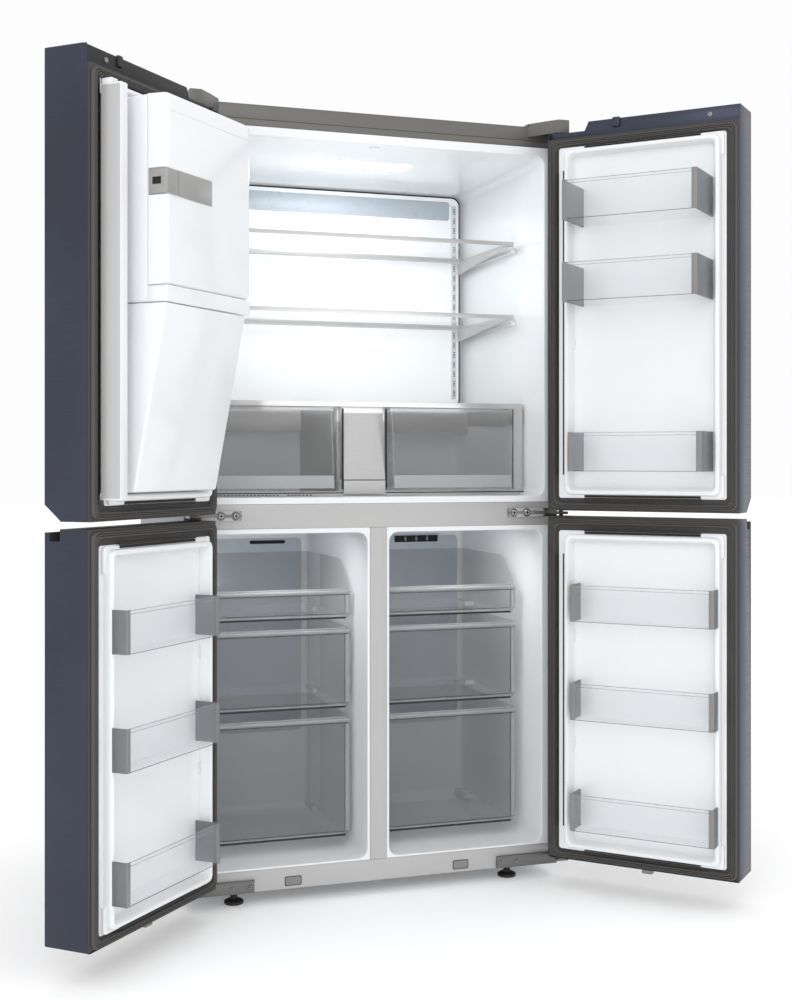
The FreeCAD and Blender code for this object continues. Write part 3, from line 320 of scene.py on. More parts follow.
def piece(name, parts, space, body, bevel=0.0, segments=2, nodes=(), cutter=None):
    # parts is a list of (shape, material); each closed shape is turned to face outwards
    mesh = bpy.data.meshes.new(name)
    points = []
    faces = []
    kinds = []
    materials = []
    for (shapePoints, shapeFaces), material in parts:
        if material not in materials:
            materials.append(material)
        offset = len(points)
        points += [space @ Vector(p) for p in shapePoints]
        faces += [tuple(offset + i for i in face) for face in shapeFaces]
        kinds += [materials.index(material)] * len(shapeFaces)
    mesh.from_pydata([tuple(p) for p in points], [], faces)
    for material in materials:
        mesh.materials.append(material)
    mesh.polygons.foreach_set("material_index", kinds)
    work = bmesh.new()
    work.from_mesh(mesh)
    bmesh.ops.recalc_face_normals(work, faces=work.faces)
    work.to_mesh(mesh)
    work.free()
    made = bpy.data.objects.new(name, mesh)
    bpy.context.scene.collection.objects.link(made)
    if bevel:
        rounding = made.modifiers.new("edges", "BEVEL")
        rounding.width = bevel / 1000
        rounding.segments = segments
        rounding.limit_method = "ANGLE"
        rounding.angle_limit = math.radians(35)
        bake(made)
    if cutter:
        carve(made, cutter, space)
    smooth(made.data)
    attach(made, body)
    if nodes:
        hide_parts(*nodes)
    return made


def carve(made, cutter, space):
    # take a closed shape out of a piece
    mesh = bpy.data.meshes.new("cutter")
    mesh.from_pydata([tuple(space @ Vector(p)) for p in cutter[0]], [], cutter[1])
    work = bmesh.new()
    work.from_mesh(mesh)
    bmesh.ops.recalc_face_normals(work, faces=work.faces)
    work.to_mesh(mesh)
    work.free()
    tool = bpy.data.objects.new("cutter", mesh)
    bpy.context.scene.collection.objects.link(tool)
    taken = made.modifiers.new("taken", "BOOLEAN")
    taken.object = tool
    taken.solver = "EXACT"
    bake(made)
    bpy.data.objects.remove(tool)


def bake(made):
    # turn the modifiers' result into the piece's own mesh
    graph = bpy.context.evaluated_depsgraph_get()
    result = bpy.data.meshes.new_from_object(made.evaluated_get(graph))
    made.modifiers.clear()
    made.data = result
    return made


def refine(node, name, material, bevel=0.6, segments=2):
    # the CAD piece with its flat faces joined up and its edges rounded
    mesh = frame["nodes"][node].data.copy()
    work = bmesh.new()
    work.from_mesh(mesh)
    bmesh.ops.remove_doubles(work, verts=work.verts, dist=1e-6)
    bmesh.ops.dissolve_limit(work, angle_limit=math.radians(1), verts=work.verts, edges=work.edges)
    work.to_mesh(mesh)
    work.free()
    mesh.materials.clear()
    mesh.materials.append(material)
    made = bpy.data.objects.new(name, mesh)
    bpy.context.scene.collection.objects.link(made)
    rounding = made.modifiers.new("edges", "BEVEL")
    rounding.width = bevel / 1000
    rounding.segments = segments
    rounding.limit_method = "ANGLE"
    rounding.angle_limit = math.radians(35)
    bake(made)
    smooth(made.data)
    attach(made, bodyOf[node])
    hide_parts(node)
    return made


# ------------------------------------------------------------ repeated shapes by geometry nodes
def socket(tree, name, kind, value):
    made = tree.interface.new_socket(name=name, in_out="INPUT", socket_type=kind)
    if value is not None:
        made.default_value = value
    return made


def screwTree():
    # a low pan head with a cross recess on every point of the mesh it is given
    tree = bpy.data.node_groups.new("panHeadScrews", "GeometryNodeTree")
    tree.interface.new_socket(name="Points", in_out="INPUT", socket_type="NodeSocketGeometry")
    socket(tree, "Head radius", "NodeSocketFloat", 0.004)
    socket(tree, "Head height", "NodeSocketFloat", 0.0022)
    socket(tree, "Turn", "NodeSocketVector", (0, 0, 0))
    socket(tree, "Head finish", "NodeSocketMaterial", None)
    socket(tree, "Recess finish", "NodeSocketMaterial", None)
    tree.interface.new_socket(name="Screws", in_out="OUTPUT", socket_type="NodeSocketGeometry")
    given = addNode(tree, "NodeGroupInput").outputs
    head = addNode(tree, "GeometryNodeMeshCone", {"Vertices": 20})
    tree.links.new(given["Head radius"], head.inputs["Radius Bottom"])
    top = addNode(tree, "ShaderNodeMath", {"operation": "MULTIPLY", 1: 0.72}, {0: given["Head radius"]})
    tree.links.new(top.outputs[0], head.inputs["Radius Top"])
    tree.links.new(given["Head height"], head.inputs["Depth"])
    headSet = addNode(tree, "GeometryNodeSetMaterial", None,
                      {"Geometry": head.outputs["Mesh"], "Material": given["Head finish"]})
    long = addNode(tree, "ShaderNodeMath", {"operation": "MULTIPLY", 1: 1.0}, {0: given["Head radius"]})
    thin = addNode(tree, "ShaderNodeMath", {"operation": "MULTIPLY", 1: 0.24}, {0: given["Head radius"]})
    bars = []
    for order in ((0, 1), (1, 0)):
        size = addNode(tree, "ShaderNodeCombineXYZ")
        tree.links.new(long.outputs[0], size.inputs[order[0]])
        tree.links.new(thin.outputs[0], size.inputs[order[1]])
        tree.links.new(thin.outputs[0], size.inputs[2])
        bar = addNode(tree, "GeometryNodeMeshCube", None, {"Size": size.outputs[0]})
        bars.append(bar.outputs["Mesh"])
    rise = addNode(tree, "ShaderNodeCombineXYZ", None, {2: given["Head height"]})
    cross = addNode(tree, "GeometryNodeJoinGeometry")
    for bar in bars:
        tree.links.new(bar, cross.inputs[0])
    lifted = addNode(tree, "GeometryNodeTransform", None,
                     {"Geometry": cross.outputs[0], "Translation": rise.outputs[0]})
    crossSet = addNode(tree, "GeometryNodeSetMaterial", None,
                       {"Geometry": lifted.outputs[0], "Material": given["Recess finish"]})
    whole = addNode(tree, "GeometryNodeJoinGeometry")
    tree.links.new(crossSet.outputs[0], whole.inputs[0])
    tree.links.new(headSet.outputs[0], whole.inputs[0])
    placed = addNode(tree, "GeometryNodeInstanceOnPoints", None,
                     {"Points": given["Points"], "Instance": whole.outputs[0], "Rotation": given["Turn"]})
    real = addNode(tree, "GeometryNodeRealizeInstances", None, {"Geometry": placed.outputs[0]})
    addNode(tree, "NodeGroupOutput", None, {0: real.outputs[0]})
    return tree


def slatTree():
    # a flat bar with rounded ends on every point of the mesh it is given
    tree = bpy.data.node_groups.new("roundedBars", "GeometryNodeTree")
    tree.interface.new_socket(name="Points", in_out="INPUT", socket_type="NodeSocketGeometry")
    socket(tree, "Length", "NodeSocketFloat", 0.02)
    socket(tree, "Width", "NodeSocketFloat", 0.004)
    socket(tree, "Thickness", "NodeSocketFloat", 0.001)
    socket(tree, "Turn", "NodeSocketVector", (0, 0, 0))
    socket(tree, "Bar finish", "NodeSocketMaterial", None)
    tree.interface.new_socket(name="Bars", in_out="OUTPUT", socket_type="NodeSocketGeometry")
    given = addNode(tree, "NodeGroupInput").outputs
    outline = addNode(tree, "GeometryNodeCurvePrimitiveQuadrilateral", None,
                      {"Width": given["Length"], "Height": given["Width"]})
    half = addNode(tree, "ShaderNodeMath", {"operation": "MULTIPLY", 1: 0.48}, {0: given["Width"]})
    rounded = addNode(tree, "GeometryNodeFilletCurve", {"mode": "POLY", "Count": 4},
                      {"Curve": outline.outputs[0], "Radius": half.outputs[0]})
    filled = addNode(tree, "GeometryNodeFillCurve", {"mode": "NGONS"}, {"Curve": rounded.outputs[0]})
    raised = addNode(tree, "GeometryNodeExtrudeMesh", {"mode": "FACES"},
                     {"Mesh": filled.outputs[0], "Offset Scale": given["Thickness"]})
    under = addNode(tree, "GeometryNodeFlipFaces", None, {"Mesh": filled.outputs[0]})
    closed = addNode(tree, "GeometryNodeJoinGeometry")
    tree.links.new(under.outputs[0], closed.inputs[0])
    tree.links.new(raised.outputs["Mesh"], closed.inputs[0])
    merged = addNode(tree, "GeometryNodeMergeByDistance", {"Distance": 0.00001},
                     {"Geometry": closed.outputs[0]})
    placed = addNode(tree, "GeometryNodeInstanceOnPoints", None,
                     {"Points": given["Points"], "Instance": merged.outputs[0], "Rotation": given["Turn"]})
    real = addNode(tree, "GeometryNodeRealizeInstances", None, {"Geometry": placed.outputs[0]})
    dressed = addNode(tree, "GeometryNodeSetMaterial", None,
                      {"Geometry": real.outputs[0], "Material": given["Bar finish"]})
    addNode(tree, "NodeGroupOutput", None, {0: dressed.outputs[0]})
    return tree


screws = screwTree()
bars = slatTree()


def scatter(name, tree, places, space, body, values):
    # one piece with the tree's shape on each place
    mesh = bpy.data.meshes.new(name)
    mesh.from_pydata([tuple(space @ Vector(p)) for p in places], [], [])
    made = bpy.data.objects.new(name, mesh)
    bpy.context.scene.collection.objects.link(made)
    maker = made.modifiers.new("maker", "NODES")
    maker.node_group = tree
    for item in tree.interface.items_tree:
        if item.in_out == "INPUT" and item.name in values:
            maker[item.identifier] = values[item.name]
    bake(made)
    smooth(made.data)
    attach(made, body)
    return made


def screwRow(name, places, space, body, turn, radius=4.0):
    return scatter(name, screws, places, space, body, {
        "Head radius": radius / 1000, "Head height": radius * 0.00055, "Turn": turn,
        "Head finish": screwSteel, "Recess finish": darkGap,
    })


def barRow(name, places, space, body, turn, size, material):
    return scatter(name, bars, places, space, body, {
        "Length": size[0] / 1000, "Width": size[1] / 1000, "Thickness": size[2] / 1000,
        "Turn": turn, "Bar finish": material,
    })


# ------------------------------------------------------------ cabinet
liner = {"cornerRadius": 22.0, "floorRadius": 16.0, "wall": 2.0}


def linerRings(x, z, depth, lipX, lipZ, backX, backZ):
    rings = []
    wall = liner["wall"]
    radius = liner["cornerRadius"]
    rings.append(ring("xz", depth + wall, inset(x, -wall), inset(z, -wall), radius))
    rings.append(ring("xz", wall, inset(x, -wall), inset(z, -wall), radius))
    rings.append(ring("xz", wall, lipX, lipZ, 1))
    rings.append(ring("xz", 0.6, lipX, lipZ, 1))
    rings.append(ring("xz", 0, inset(lipX, 0.6), inset(lipZ, 0.6), 1))
    for step in range(4):  # the lip rolls over into the walls
        angle = math.radians(30 * step)
        roll = 3 * (1 - math.sin(angle))
        rings.append(ring("xz", 3 * (1 - math.cos(angle)), inset(x, -roll), inset(z, -roll), radius + roll))
    bend = liner["floorRadius"]
    for step in range(6):  # walls lean in a little towards the back and turn into it
        angle = math.radians(90 * step / 5)
        pull = bend * (1 - math.cos(angle))
        rings.append(ring("xz", depth - bend + bend * math.sin(angle), inset(backX, pull), inset(backZ, pull),
                          radius))
    return rings


def makeLiners():
    x = span("upper_liner", 0)
    z = span("upper_liner", 2)
    mouth = (-420, 420), (918, 1736)
    back = (-402, 402), (918.5, 1722)
    rings = linerRings(*mouth, 540, x, z, *back)
    parts = [(ringPart(rings), whiteHips)]
    for side in (-1, 1):
        for height in (1342, 1524):  # moulded ledges under the shelves
            wallX = side * 410
            parts.append((block(sorted((wallX, side * 399)), (150, 462), (height, height + 8)), whiteHips))
    piece("upperLiner", parts, cabinet, "cabinet", nodes=["upper_liner"])
    parts = [(ringPart([ring("xy", 1731.2, (-9, 9), (22, 34), 4),
                        ring("xy", 1735.6, (-12, 12), (19, 37), 5)]),
              satinWhite)]
    piece("doorSwitch", parts, cabinet, "cabinet", bevel=1)
    for side, name in ((-1, "Left"), (1, "Right")):
        node = f"lower_{name.lower()}_liner"
        x = tuple(sorted((side * 27, side * 413)))
        backX = tuple(sorted((side * 41, side * 396)))
        rings = linerRings(x, (83, 836), 484, span(node, 0), span(node, 2), backX, (84, 826))
        parts = [(ringPart(rings), whiteHips)]
        for base in (112, 416, 627):
            ledge = [(400, base - 13), (478, base - 13), (478, base - 1), (400, base - 1)]
            parts.append((prism(ledge, sorted((side * 31, side * 48))), whiteHips))
            parts.append((prism(ledge, sorted((side * 374, side * 408))), whiteHips))
        piece(f"lower{name}Liner", parts, cabinet, "cabinet", nodes=[node])
    print("liners made")


def makeRails():
    half = span("front_rails", 0)[1]
    # painted shade: the top rail strips take the darker copy of the rail paint
    parts = [
        (block((-half, half), (0, 3), (1757, 1771.6)), shadedRailSteel),
        (block((-half, half), (0, 3), (1772.4, 1803.8)), shadedRailSteel),
        (block((-half, half), (0.8, 3), (1771, 1773)), darkGap),
        (block((-half, half), (0, 3), (848, 903)), railSteel),
        (block((-half, half), (0, 3), (30, 78)), railSteel),
    ]
    piece("frontRails", parts, cabinet, "cabinet", bevel=0.5, nodes=["front_rails"])
    refine("divider_cover", "dividerCover", railSteel, 1.2, 3)
    plugs = []
    for x in (-204, 204):
        plugs.append((ringPart([ring("xz", 0.5, (x - 18, x + 18), (38, 56), 3),
                                ring("xz", -1.2, (x - 18, x + 18), (38, 56), 3)]), capGrey))
        plugs.append((ringPart([ring("xz", 0.3, (x - 20, x + 20), (36, 58), 4),
                                ring("xz", -0.4, (x - 20, x + 20), (36, 58), 4)]), darkAbs))
    piece("railPlugs", plugs, cabinet, "cabinet", bevel=0.4)
    print("rails made")


def makeCabinetShell():
    refine("cabinet_wrapper", "cabinetWrapper", coatedSteel, 0.5)
    refine("cabinet_back", "backPanel", galvanised, 0.3)
    refine("machine_cover", "machineCover", galvanised, 0.3)
    refine("base_plate", "basePlate", galvanised, 0.4)
    refine("compressor", "compressorCan", blackEnamel, 1.5, 3)
    refine("condenser", "condenserCoil", blackEnamel, 0.3)
    refine("condenser_fan", "condenserFan", darkAbs, 0.6)
    refine("drain_pan", "drainPan", footPlastic, 0.6)
    refine("evaporator", "evaporatorCoil", finSheet, 0.2)
    refine("cabinet_insulation", "cabinetFoam", foam, 0.5)
    refine("rear_rollers", "rearRollers", footPlastic, 1.5, 3)
    refine("door_hinges", "doorHinges", hingeSteel, 0.8)
    plates = []
    for side in (-1, 1):
        x = sorted((side * 325.6, side * 419))
        plates.append((ringPart([ring("xz", -4, x, (867, 889), 10), ring("xz", -5.6, x, (867, 889), 10)]),
                       railSteel))
        x = sorted((side * 295.6, side * 452))
        plates.append((ringPart([ring("xz", -4, x, (31, 57.5), 5), ring("xz", -5.4, x, (31, 57.5), 5)]),
                       hingeSteel))
        plates.append((block(x, (-9.5, -4), (55.8, 58.6)), hingeSteel))
        for angle in (862, 895):
            plates.append((rod((side * 439.5, -54.4, angle), (side * 439.5, -54.4, angle + 4), 11),
                           screwSteel))
    piece("hingePlates", plates, cabinet, "cabinet", bevel=0.6)
    screwRow("middleHingeScrews", [(s * x, -6.3, 878) for s in (-1, 1) for x in (338, 372)], cabinet,
             "cabinet", (math.pi / 2, 0, 0), 8)
    washers = [(rod((s * x, -5.5, 878), (s * x, -6.3, 878), 10.5), hingeSteel)
               for s in (-1, 1) for x in (338, 372)]
    piece("hingeWashers", washers, cabinet, "cabinet")
    screwRow("lowerHingeScrews", [(s * x, -5.4, 44) for s in (-1, 1) for x in (305, 345)], cabinet,
             "cabinet", (math.pi / 2, 0, 0), 5)
    screwRow("backScrews",
             [(x, 635, z) for x in (-440, -150, 150, 440) for z in (262, 650, 1100, 1500, 1790)],
             cabinet, "cabinet", (-math.pi / 2, 0, 0), 4.5)
    screwRow("machineCoverScrews", [(x, 635, z) for x in (-440, -10, 440) for z in (42, 238)],
             cabinet, "cabinet", (-math.pi / 2, 0, 0), 4.5)
    # painted shade: the hinge covers take the darker copy of the rail paint
    refine("hinge_covers", "hingeCovers", shadedRailSteel, 1.0, 3)
    feet = []
    for x in (-335, 335):
        rings = []
        for height, radius in ((0, 20), (1.5, 22), (7, 22), (10, 17), (11, 8), (28, 8)):
            rings.append([(x + radius * math.cos(2 * math.pi * i / 32),
                           30 + radius * math.sin(2 * math.pi * i / 32),
                           height) for i in range(32)])
        feet.append((ringPart(rings), footPlastic))
    piece("levellingFeet", feet, cabinet, "cabinet", nodes=["levelling_feet"])
    print("cabinet shell made")


def makeFridgeInterior():
    # painted light: the duct panel's white glows faintly
    panel = [
        (ringPart([ring("xz", 487.5, (-387, 387), (1149, 1716), 20),
                   ring("xz", 484, (-387, 387), (1149, 1716), 20)]),
         glowingPanelWhite),
        (ringPart([ring("xz", 484.5, (-360, 360), (1655, 1706), 8),
                   ring("xz", 483, (-360, 360), (1655, 1706), 8)]),
         coolBand),
        (ringPart([ring("xz", 487, (-391, 391), (1147, 1720), 22),
                   ring("xz", 486, (-391, 391), (1147, 1720), 22)]),
         darkGap),
    ]
    for side in (-1, 1):
        x = tuple(sorted((side * 49, side * 391)))
        panel.append((ringPart([ring("xz", 484.2, inset(x, 8), (296, 800), 12),
                                ring("xz", 482, inset(x, 8), (296, 800), 12)]), coolBand))
    piece("ductPanels", panel, cabinet, "cabinet", bevel=0.8, nodes=["duct_panels"])
    tracks = [(block((s * 372 - 7, s * 372 + 7), (479, 484.5), (1170, 1696)), satinWhite) for s in (-1, 1)]
    piece("shelfTracks", tracks, cabinet, "cabinet", bevel=1)
    barRow("trackSlots", [(s * 372, 478.9, z) for s in (-1, 1) for z in range(1186, 1690, 26)], cabinet,
           "cabinet", (math.pi / 2, 0, 0), (3.2, 14, 0.4), darkGap)
    vent = [
        (ringPart([ring("xz", 482.2, (197, 329), (779, 805), 5),
                   ring("xz", 480.4, (197, 329), (779, 805), 5)]),
         coolBand),
        (ringPart([ring("xz", 481, (201, 325), (783, 801), 3), ring("xz", 480, (201, 325), (783, 801), 3)]),
         darkGap),
    ]
    piece("freezerVent", vent, cabinet, "cabinet", bevel=0.4)
    # painted highlight: the vent bars take the lighter rim copy of the smoky styrene
    barRow("freezerVentBars", [(x, 480, 792) for x in (232, 263, 294)], cabinet, "cabinet",
           (math.pi / 2, 0, 0), (7, 17, 1.2), smokyEdgeHighlight)
    barRow("freezerSlot", [(-148, 481.9, 790)], cabinet, "cabinet", (math.pi / 2, 0, 0), (95, 9, 0.5),
           darkGap)
    light = [
        (ringPart([ring("xy", 1733, (-150, 150), (180, 330), 14), ring("xy", 1729.4, inset((-150, 150), 3),
                                                                   (183, 327), 12)]), diffuser),
        (ringPart([ring("xy", 1735.6, (-158, 158), (172, 338), 18),
                   ring("xy", 1732, (-158, 158), (172, 338), 18)]),
         satinWhite),
    ]
    piece("ceilingLight", light, cabinet, "cabinet", bevel=0.8, nodes=["ceiling_light"])
    refine("shelf_glass", "shelfGlass", shelfGlass, 0.5)
    refine("crisper_cover", "crisperCover", shelfGlass, 0.5)
    refine("shelf_frames", "shelfFrames", satinTrim, 0.5)
    refine("crisper_frame", "crisperFrame", satinTrim, 0.5)
    refine("filter_cover", "filterCover", satinTrim, 1.2, 3)
    coverX, coverY = span("filter_cover", 0), span("filter_cover", 1)
    gapY = (coverY[0] - frontPlane + 1.5, coverY[0] - frontPlane + 4)
    gaps = [(block(sorted((x, x + out)), gapY, (934, 1126)), darkGap) for x, out in zip(coverX, (-4, 4))]
    gaps.append((block((-411, 411), (98.6, 98.9), (924.5, 927)), darkGap))
    for x in (-385, 385):
        gaps.append((block((x - 0.9, x + 0.9), (106, 108), (932, 1129)), darkGap))
    piece("crisperShadowLines", gaps, cabinet, "cabinet")
    barRow("crisperVents", [(x, 98.6, 921) for x in range(-396, -214, 9)] + [(x, 98.6, 921) for x in
           range(-190, -130, 9)], cabinet, "cabinet", (math.pi / 2, 0, 0), (5.5, 2.4, 0.4), darkGap)
    print("fridge interior made")


# ------------------------------------------------------------ trays
def trayLoop(level, x, y, radius, marks):
    # a rounded rectangle with extra points at the marks along both sides
    points = ring("xy", level, x, y, radius)
    half = len(points) // 2
    rear = [(x[0], mark, level) for mark in reversed(marks)]
    front = [(x[1], mark, level) for mark in marks]
    return points[:half] + rear + points[half:] + front


def trayRings(x, y, z, wall, radius, foot, lean=0.0, rise=0.0, climb=79.0):
    # open tray; its front leans back by lean, and its sides climb by rise over the climb's length
    marks = [y[0] + climb * step / 6 for step in range(2, 8)] if rise else []
    rings = []

    def level(height, amount, top=False):
        share = (height - z[0]) / (z[1] - z[0])
        span = (y[0] + amount + lean * share, y[1] - amount)
        points = trayLoop(height, inset(x, amount), span, max(radius - amount, 2), marks)
        if top and rise:
            points = [(a, b, c + rise * min(max((b - y[0] - 6) / climb, 0), 1)) for a, b, c in points]
        rings.append(points)

    for step in range(4):
        angle = math.radians(30 * step)
        level(z[0] + foot * (1 - math.cos(angle)), foot * (1 - math.sin(angle)))
    level(z[1] - 0.8, 0, True)
    level(z[1], 0.8, True)
    level(z[1], wall - 0.6, True)
    level(z[1] - 0.8, wall, True)
    for step in range(3, -1, -1):
        angle = math.radians(30 * step)
        level(z[0] + wall + foot * (1 - math.cos(angle)), wall + foot * (1 - math.sin(angle)))
    return rings


drawer = {"wall": 2.6, "cornerRadius": 16.0, "footRadius": 7.0}


def makeDrawers():
    for name in ("left", "right"):
        for level in ("bottom", "middle", "top"):
            node = f"{name}_{level}_drawer"
            x = span(node, 0)
            z = span(node, 2)
            rise = 66 if level == "top" else 0
            top = z[1] - rise
            rings = trayRings(x, (95, 470), (z[0], top), drawer["wall"], drawer["cornerRadius"],
                              drawer["footRadius"], rise=rise)
            parts = [(ringPart(rings), smokyStyrene)]
            # painted highlight and painted shade: the lip, rim lines and end bands use lighter and darker
            # copies of the smoky styrene, and the near-black strip at the foot is painted shadow
            lip = [(95.5, top - 13), (88, top - 10), (86, top - 6), (87.5, top - 3), (95.5, top - 3)]
            parts.append((prism(lip, inset(x, 5)), smokyEdgeHighlight))
            parts.append((prism([(93.6, top - 2.4), (97, top - 2.4), (97, top + 0.5), (93.6, top + 0.5)],
                                inset(x, 12)), smokyEdgeHighlight))
            parts.append((block(inset(x, 7), (93.8, 95.2), (top - 15.2, top - 13.6)), smokyShadeLine))
            parts.append((block(inset(x, 14), (93.8, 95.2), (z[0] + 7, z[0] + 9)), smokyEdgeHighlight))
            parts.append((block(inset(x, 16), (93.8, 95.2), (z[0] + 12, z[0] + 13)), smokyShadeLine))
            parts.append((block(inset(x, 12), (98.5, 101), (z[0] + 0.3, z[0] + 4.6)), darkGap))
            for edge in (x[0] + 2.2, x[1] - 2.2):
                parts.append((block((edge - 0.8, edge + 0.8), (97.6, 98.8), (z[0] + 12, top - 8)), smokyShadeLine))
            for edge in (x[0] + 9, x[1] - 9):
                parts.append((block((edge - 5, edge + 5), (93.8, 95), (z[0] + 15, top - 16)), smokyEdgeHighlight))
                parts.append((block((edge - 6.4, edge - 5.4), (93.8, 95), (z[0] + 15, top - 16)), smokyShadeLine))
            for edge in (x[0] + 3, x[1] - 3):
                parts.append((block((edge - 1.1, edge + 1.1), (96, 99), (z[0] + 12, top - 6)), smokyEdgeHighlight))
            piece(node.replace("_", "") + "Tray", parts, cabinet, node, nodes=[node])
    for name in ("left", "right"):
        node = f"{name}_crisper"
        x = span(node, 0)
        z = span(node, 2)
        parts = [(ringPart(trayRings(x, (88, 455), z, 2.6, 14, 8, lean=24)), smokyStyrene)]
        lean = 24 / (z[1] - z[0])

        def front(height):
            return 87.4 + lean * (height - z[0])

        # painted highlight: the top rim strip and the upright edge strips use the lighter rim copy of the
        # smoky styrene
        for low, high, amount, material in ((z[0] + 6, z[0] + 36, 9, frosted),
                                            (z[1] - 9, z[1] - 1, 5, smokyEdgeHighlight)):
            outline = [(front(low), low), (front(low) + 1.4, low), (front(high) + 1.4, high),
                       (front(high), high)]
            parts.append((prism(outline, inset(x, amount)), material))
        for edge in (x[0] + 10, x[1] - 10):
            outline = [(front(z[0] + 38), z[0] + 38), (front(z[0] + 38) + 1.2, z[0] + 38),
                       (front(z[1] - 10) + 1.2, z[1] - 10), (front(z[1] - 10), z[1] - 10)]
            parts.append((prism(outline, (edge - 0.7, edge + 0.7)), smokyEdgeHighlight))
        piece(f"{name}CrisperTray", parts, cabinet, node, nodes=[node])
    print("drawers and crispers made")


# ------------------------------------------------------------ doors
def doorLiner(z, free):
    # flange, raised rim and sunk panel of one vacuum-formed sheet
    flangeX, outerX = (free - 9, 426), (free, 408)
    rings = [
        ring("xz", -1, flangeX, inset(z, -7), 6),
        ring("xz", 1.6, flangeX, inset(z, -7), 6),
        ring("xz", 2.0, inset(outerX, -2.5), inset(z, -2.5), 16),
        ring("xz", 4.5, outerX, z, 16),
        ring("xz", 18.5, inset(outerX, 1.5), inset(z, 1.5), 15),
        ring("xz", 22, inset(outerX, 3), inset(z, 3), 14),
        ring("xz", 24, inset(outerX, 6.5), inset(z, 6.5), 12),
        ring("xz", 23.6, inset(outerX, 10.5), inset(z, 10.5), 11),
        ring("xz", 20.5, inset(outerX, 13.5), inset(z, 13.5), 10),
        ring("xz", -20, inset(outerX, 20), inset(z, 20), 12),
        ring("xz", -27, inset(outerX, 23), inset(z, 23), 12),
        ring("xz", -29.5, inset(outerX, 30), inset(z, 30), 10),
    ]
    return ringPart(rings)


def gasketShape(z):
    # ribbed bellows around the door's edge
    profile = ((5, -1), (5, 5.8), (6.2, 8), (8, 8.7), (9.2, 6.4), (10.4, 8.7), (12, 8.7), (13, 6.2),
               (14.4, 8.5),
               (15.8, 8.5), (17.2, 7), (17.4, 3), (19, 1.4), (19, -1))
    rings = [ring("xz", height, (amount, 452 - amount), inset(z, amount - 5), 14)
             for amount, height in profile]
    return ringPart(rings, loop=True)


def linerDetails(z, free, sunk):
    # corner pads, painted-shade strips in the channels between them, and small ports on the sunk floor
    parts = []
    pad = 52
    outer = (free - 5, 413)
    for u, inner in ((outer[0], free + 2), (outer[1], 406)):
        across = 1 if inner > u else -1
        for height, level in ((z[0] - 5, z[0] + 2), (z[1] + 5, z[1] - 2)):
            up = 1 if level > height else -1
            corner = [(u + across * pad, height), (u + across * 8, height), (u + across * 2, height + up * 2),
                      (u, height + up * 8), (u, height + up * pad), (inner, height + up * pad),
                      (inner, level + up * 9), (inner + across * 9, level), (u + across * pad, level)]
            parts.append((plate(corner, (1.4, 8.8)), whiteHips))
    middle = inset(outer, pad)
    tall = inset(z, pad - 5)
    spans = ((middle, (z[0] - 5, z[0] + 1)), (middle, (z[1] - 1, z[1] + 5)), ((407, outer[1] + 2), tall))
    for u, height in spans:
        parts.append((block(u, (1.4, 6), height), channelShadeBlack))
    for u, height in ((middle, (z[1] + 6, z[1] + 11)), (middle, (z[0] - 11, z[0] - 6)), ((429, 434), tall)):
        parts.append((block(u, (7.6, 8.8), height), channelShadeBlack))
    for height in sunk:
        parts.append((ringPart([ring("xz", -18, (384, 391), (height, height + 28), 2),
                                ring("xz", 2, (385.5, 392), (height + 1, height + 27), 2)]), satinWhite))
    return parts


def makeDoors():
    for side, hand, space in ((-1, "left", leftDoor), (1, "right", rightDoor)):
        for level in ("lower", "upper"):
            body = f"{level}_{hand}_door"
            title = f"{level}{hand.title()}Door"
            z = span(f"{body}_core", 2)
            refine(f"{body}_skin", f"{title}Skin", doorSteel, 0.3, 2)
            refine(f"{body}_core", f"{title}Frame", darkAbs, 1.0, 2)
            free = 54 if side < 0 and level == "upper" else 38
            low, high = span(f"{body}_liner", 2)
            rim = (low + 6, high - 6)
            ports = (578, 330) if level == "lower" else (1260,) if side > 0 else ()
            parts = [(doorLiner(rim, free), whiteHips)] + linerDetails(rim, free, ports)
            piece(f"{title}Liner", parts, space, body, nodes=[f"{body}_liner"])
            seal = span(f"{body}_gasket", 2)
            piece(f"{title}Gasket", [(gasketShape(seal), gasketPvc)], space, body, nodes=[f"{body}_gasket"])
            if level == "upper":
                outline = [(2.3, 1759), (452, 1759), (452, 1773.6), (368.5, 1773.6), (358.4, 1794.6),
                           (2.3, 1794.6)]
                stop = (281, 300) if side > 0 else (105, 122)
                # painted shade: the left cap and its stop take the near-black foot plastic in place of the
                # door steel, for the shade they sit in
                coat = doorSteel if side > 0 else footPlastic
                cap = [
                    (plate(outline, (-14.4, -12.8)), coat),
                    (rod((70, -13, 1778), (70, -10, 1778), 5.5), capGrey),
                    (ringPart([ring("xz", -13, stop, (1774, 1798), 3),
                               ring("xz", -8, inset(stop, 1), (1775, 1797), 3)]), coat),
                ]
            else:
                cap = [(block((2.3, 453.2), (-2.4, 0.6), (68, 72)), darkGap),
                       (block((205, 229), (-30, -12), (56, 68.5)), capGrey)]
            piece(f"{title}Cap", cap, space, body, bevel=0.6)
    print("doors made")


binSizes = {"wall": 2.4, "capWidth": 11.0, "cornerRadius": 9.0}


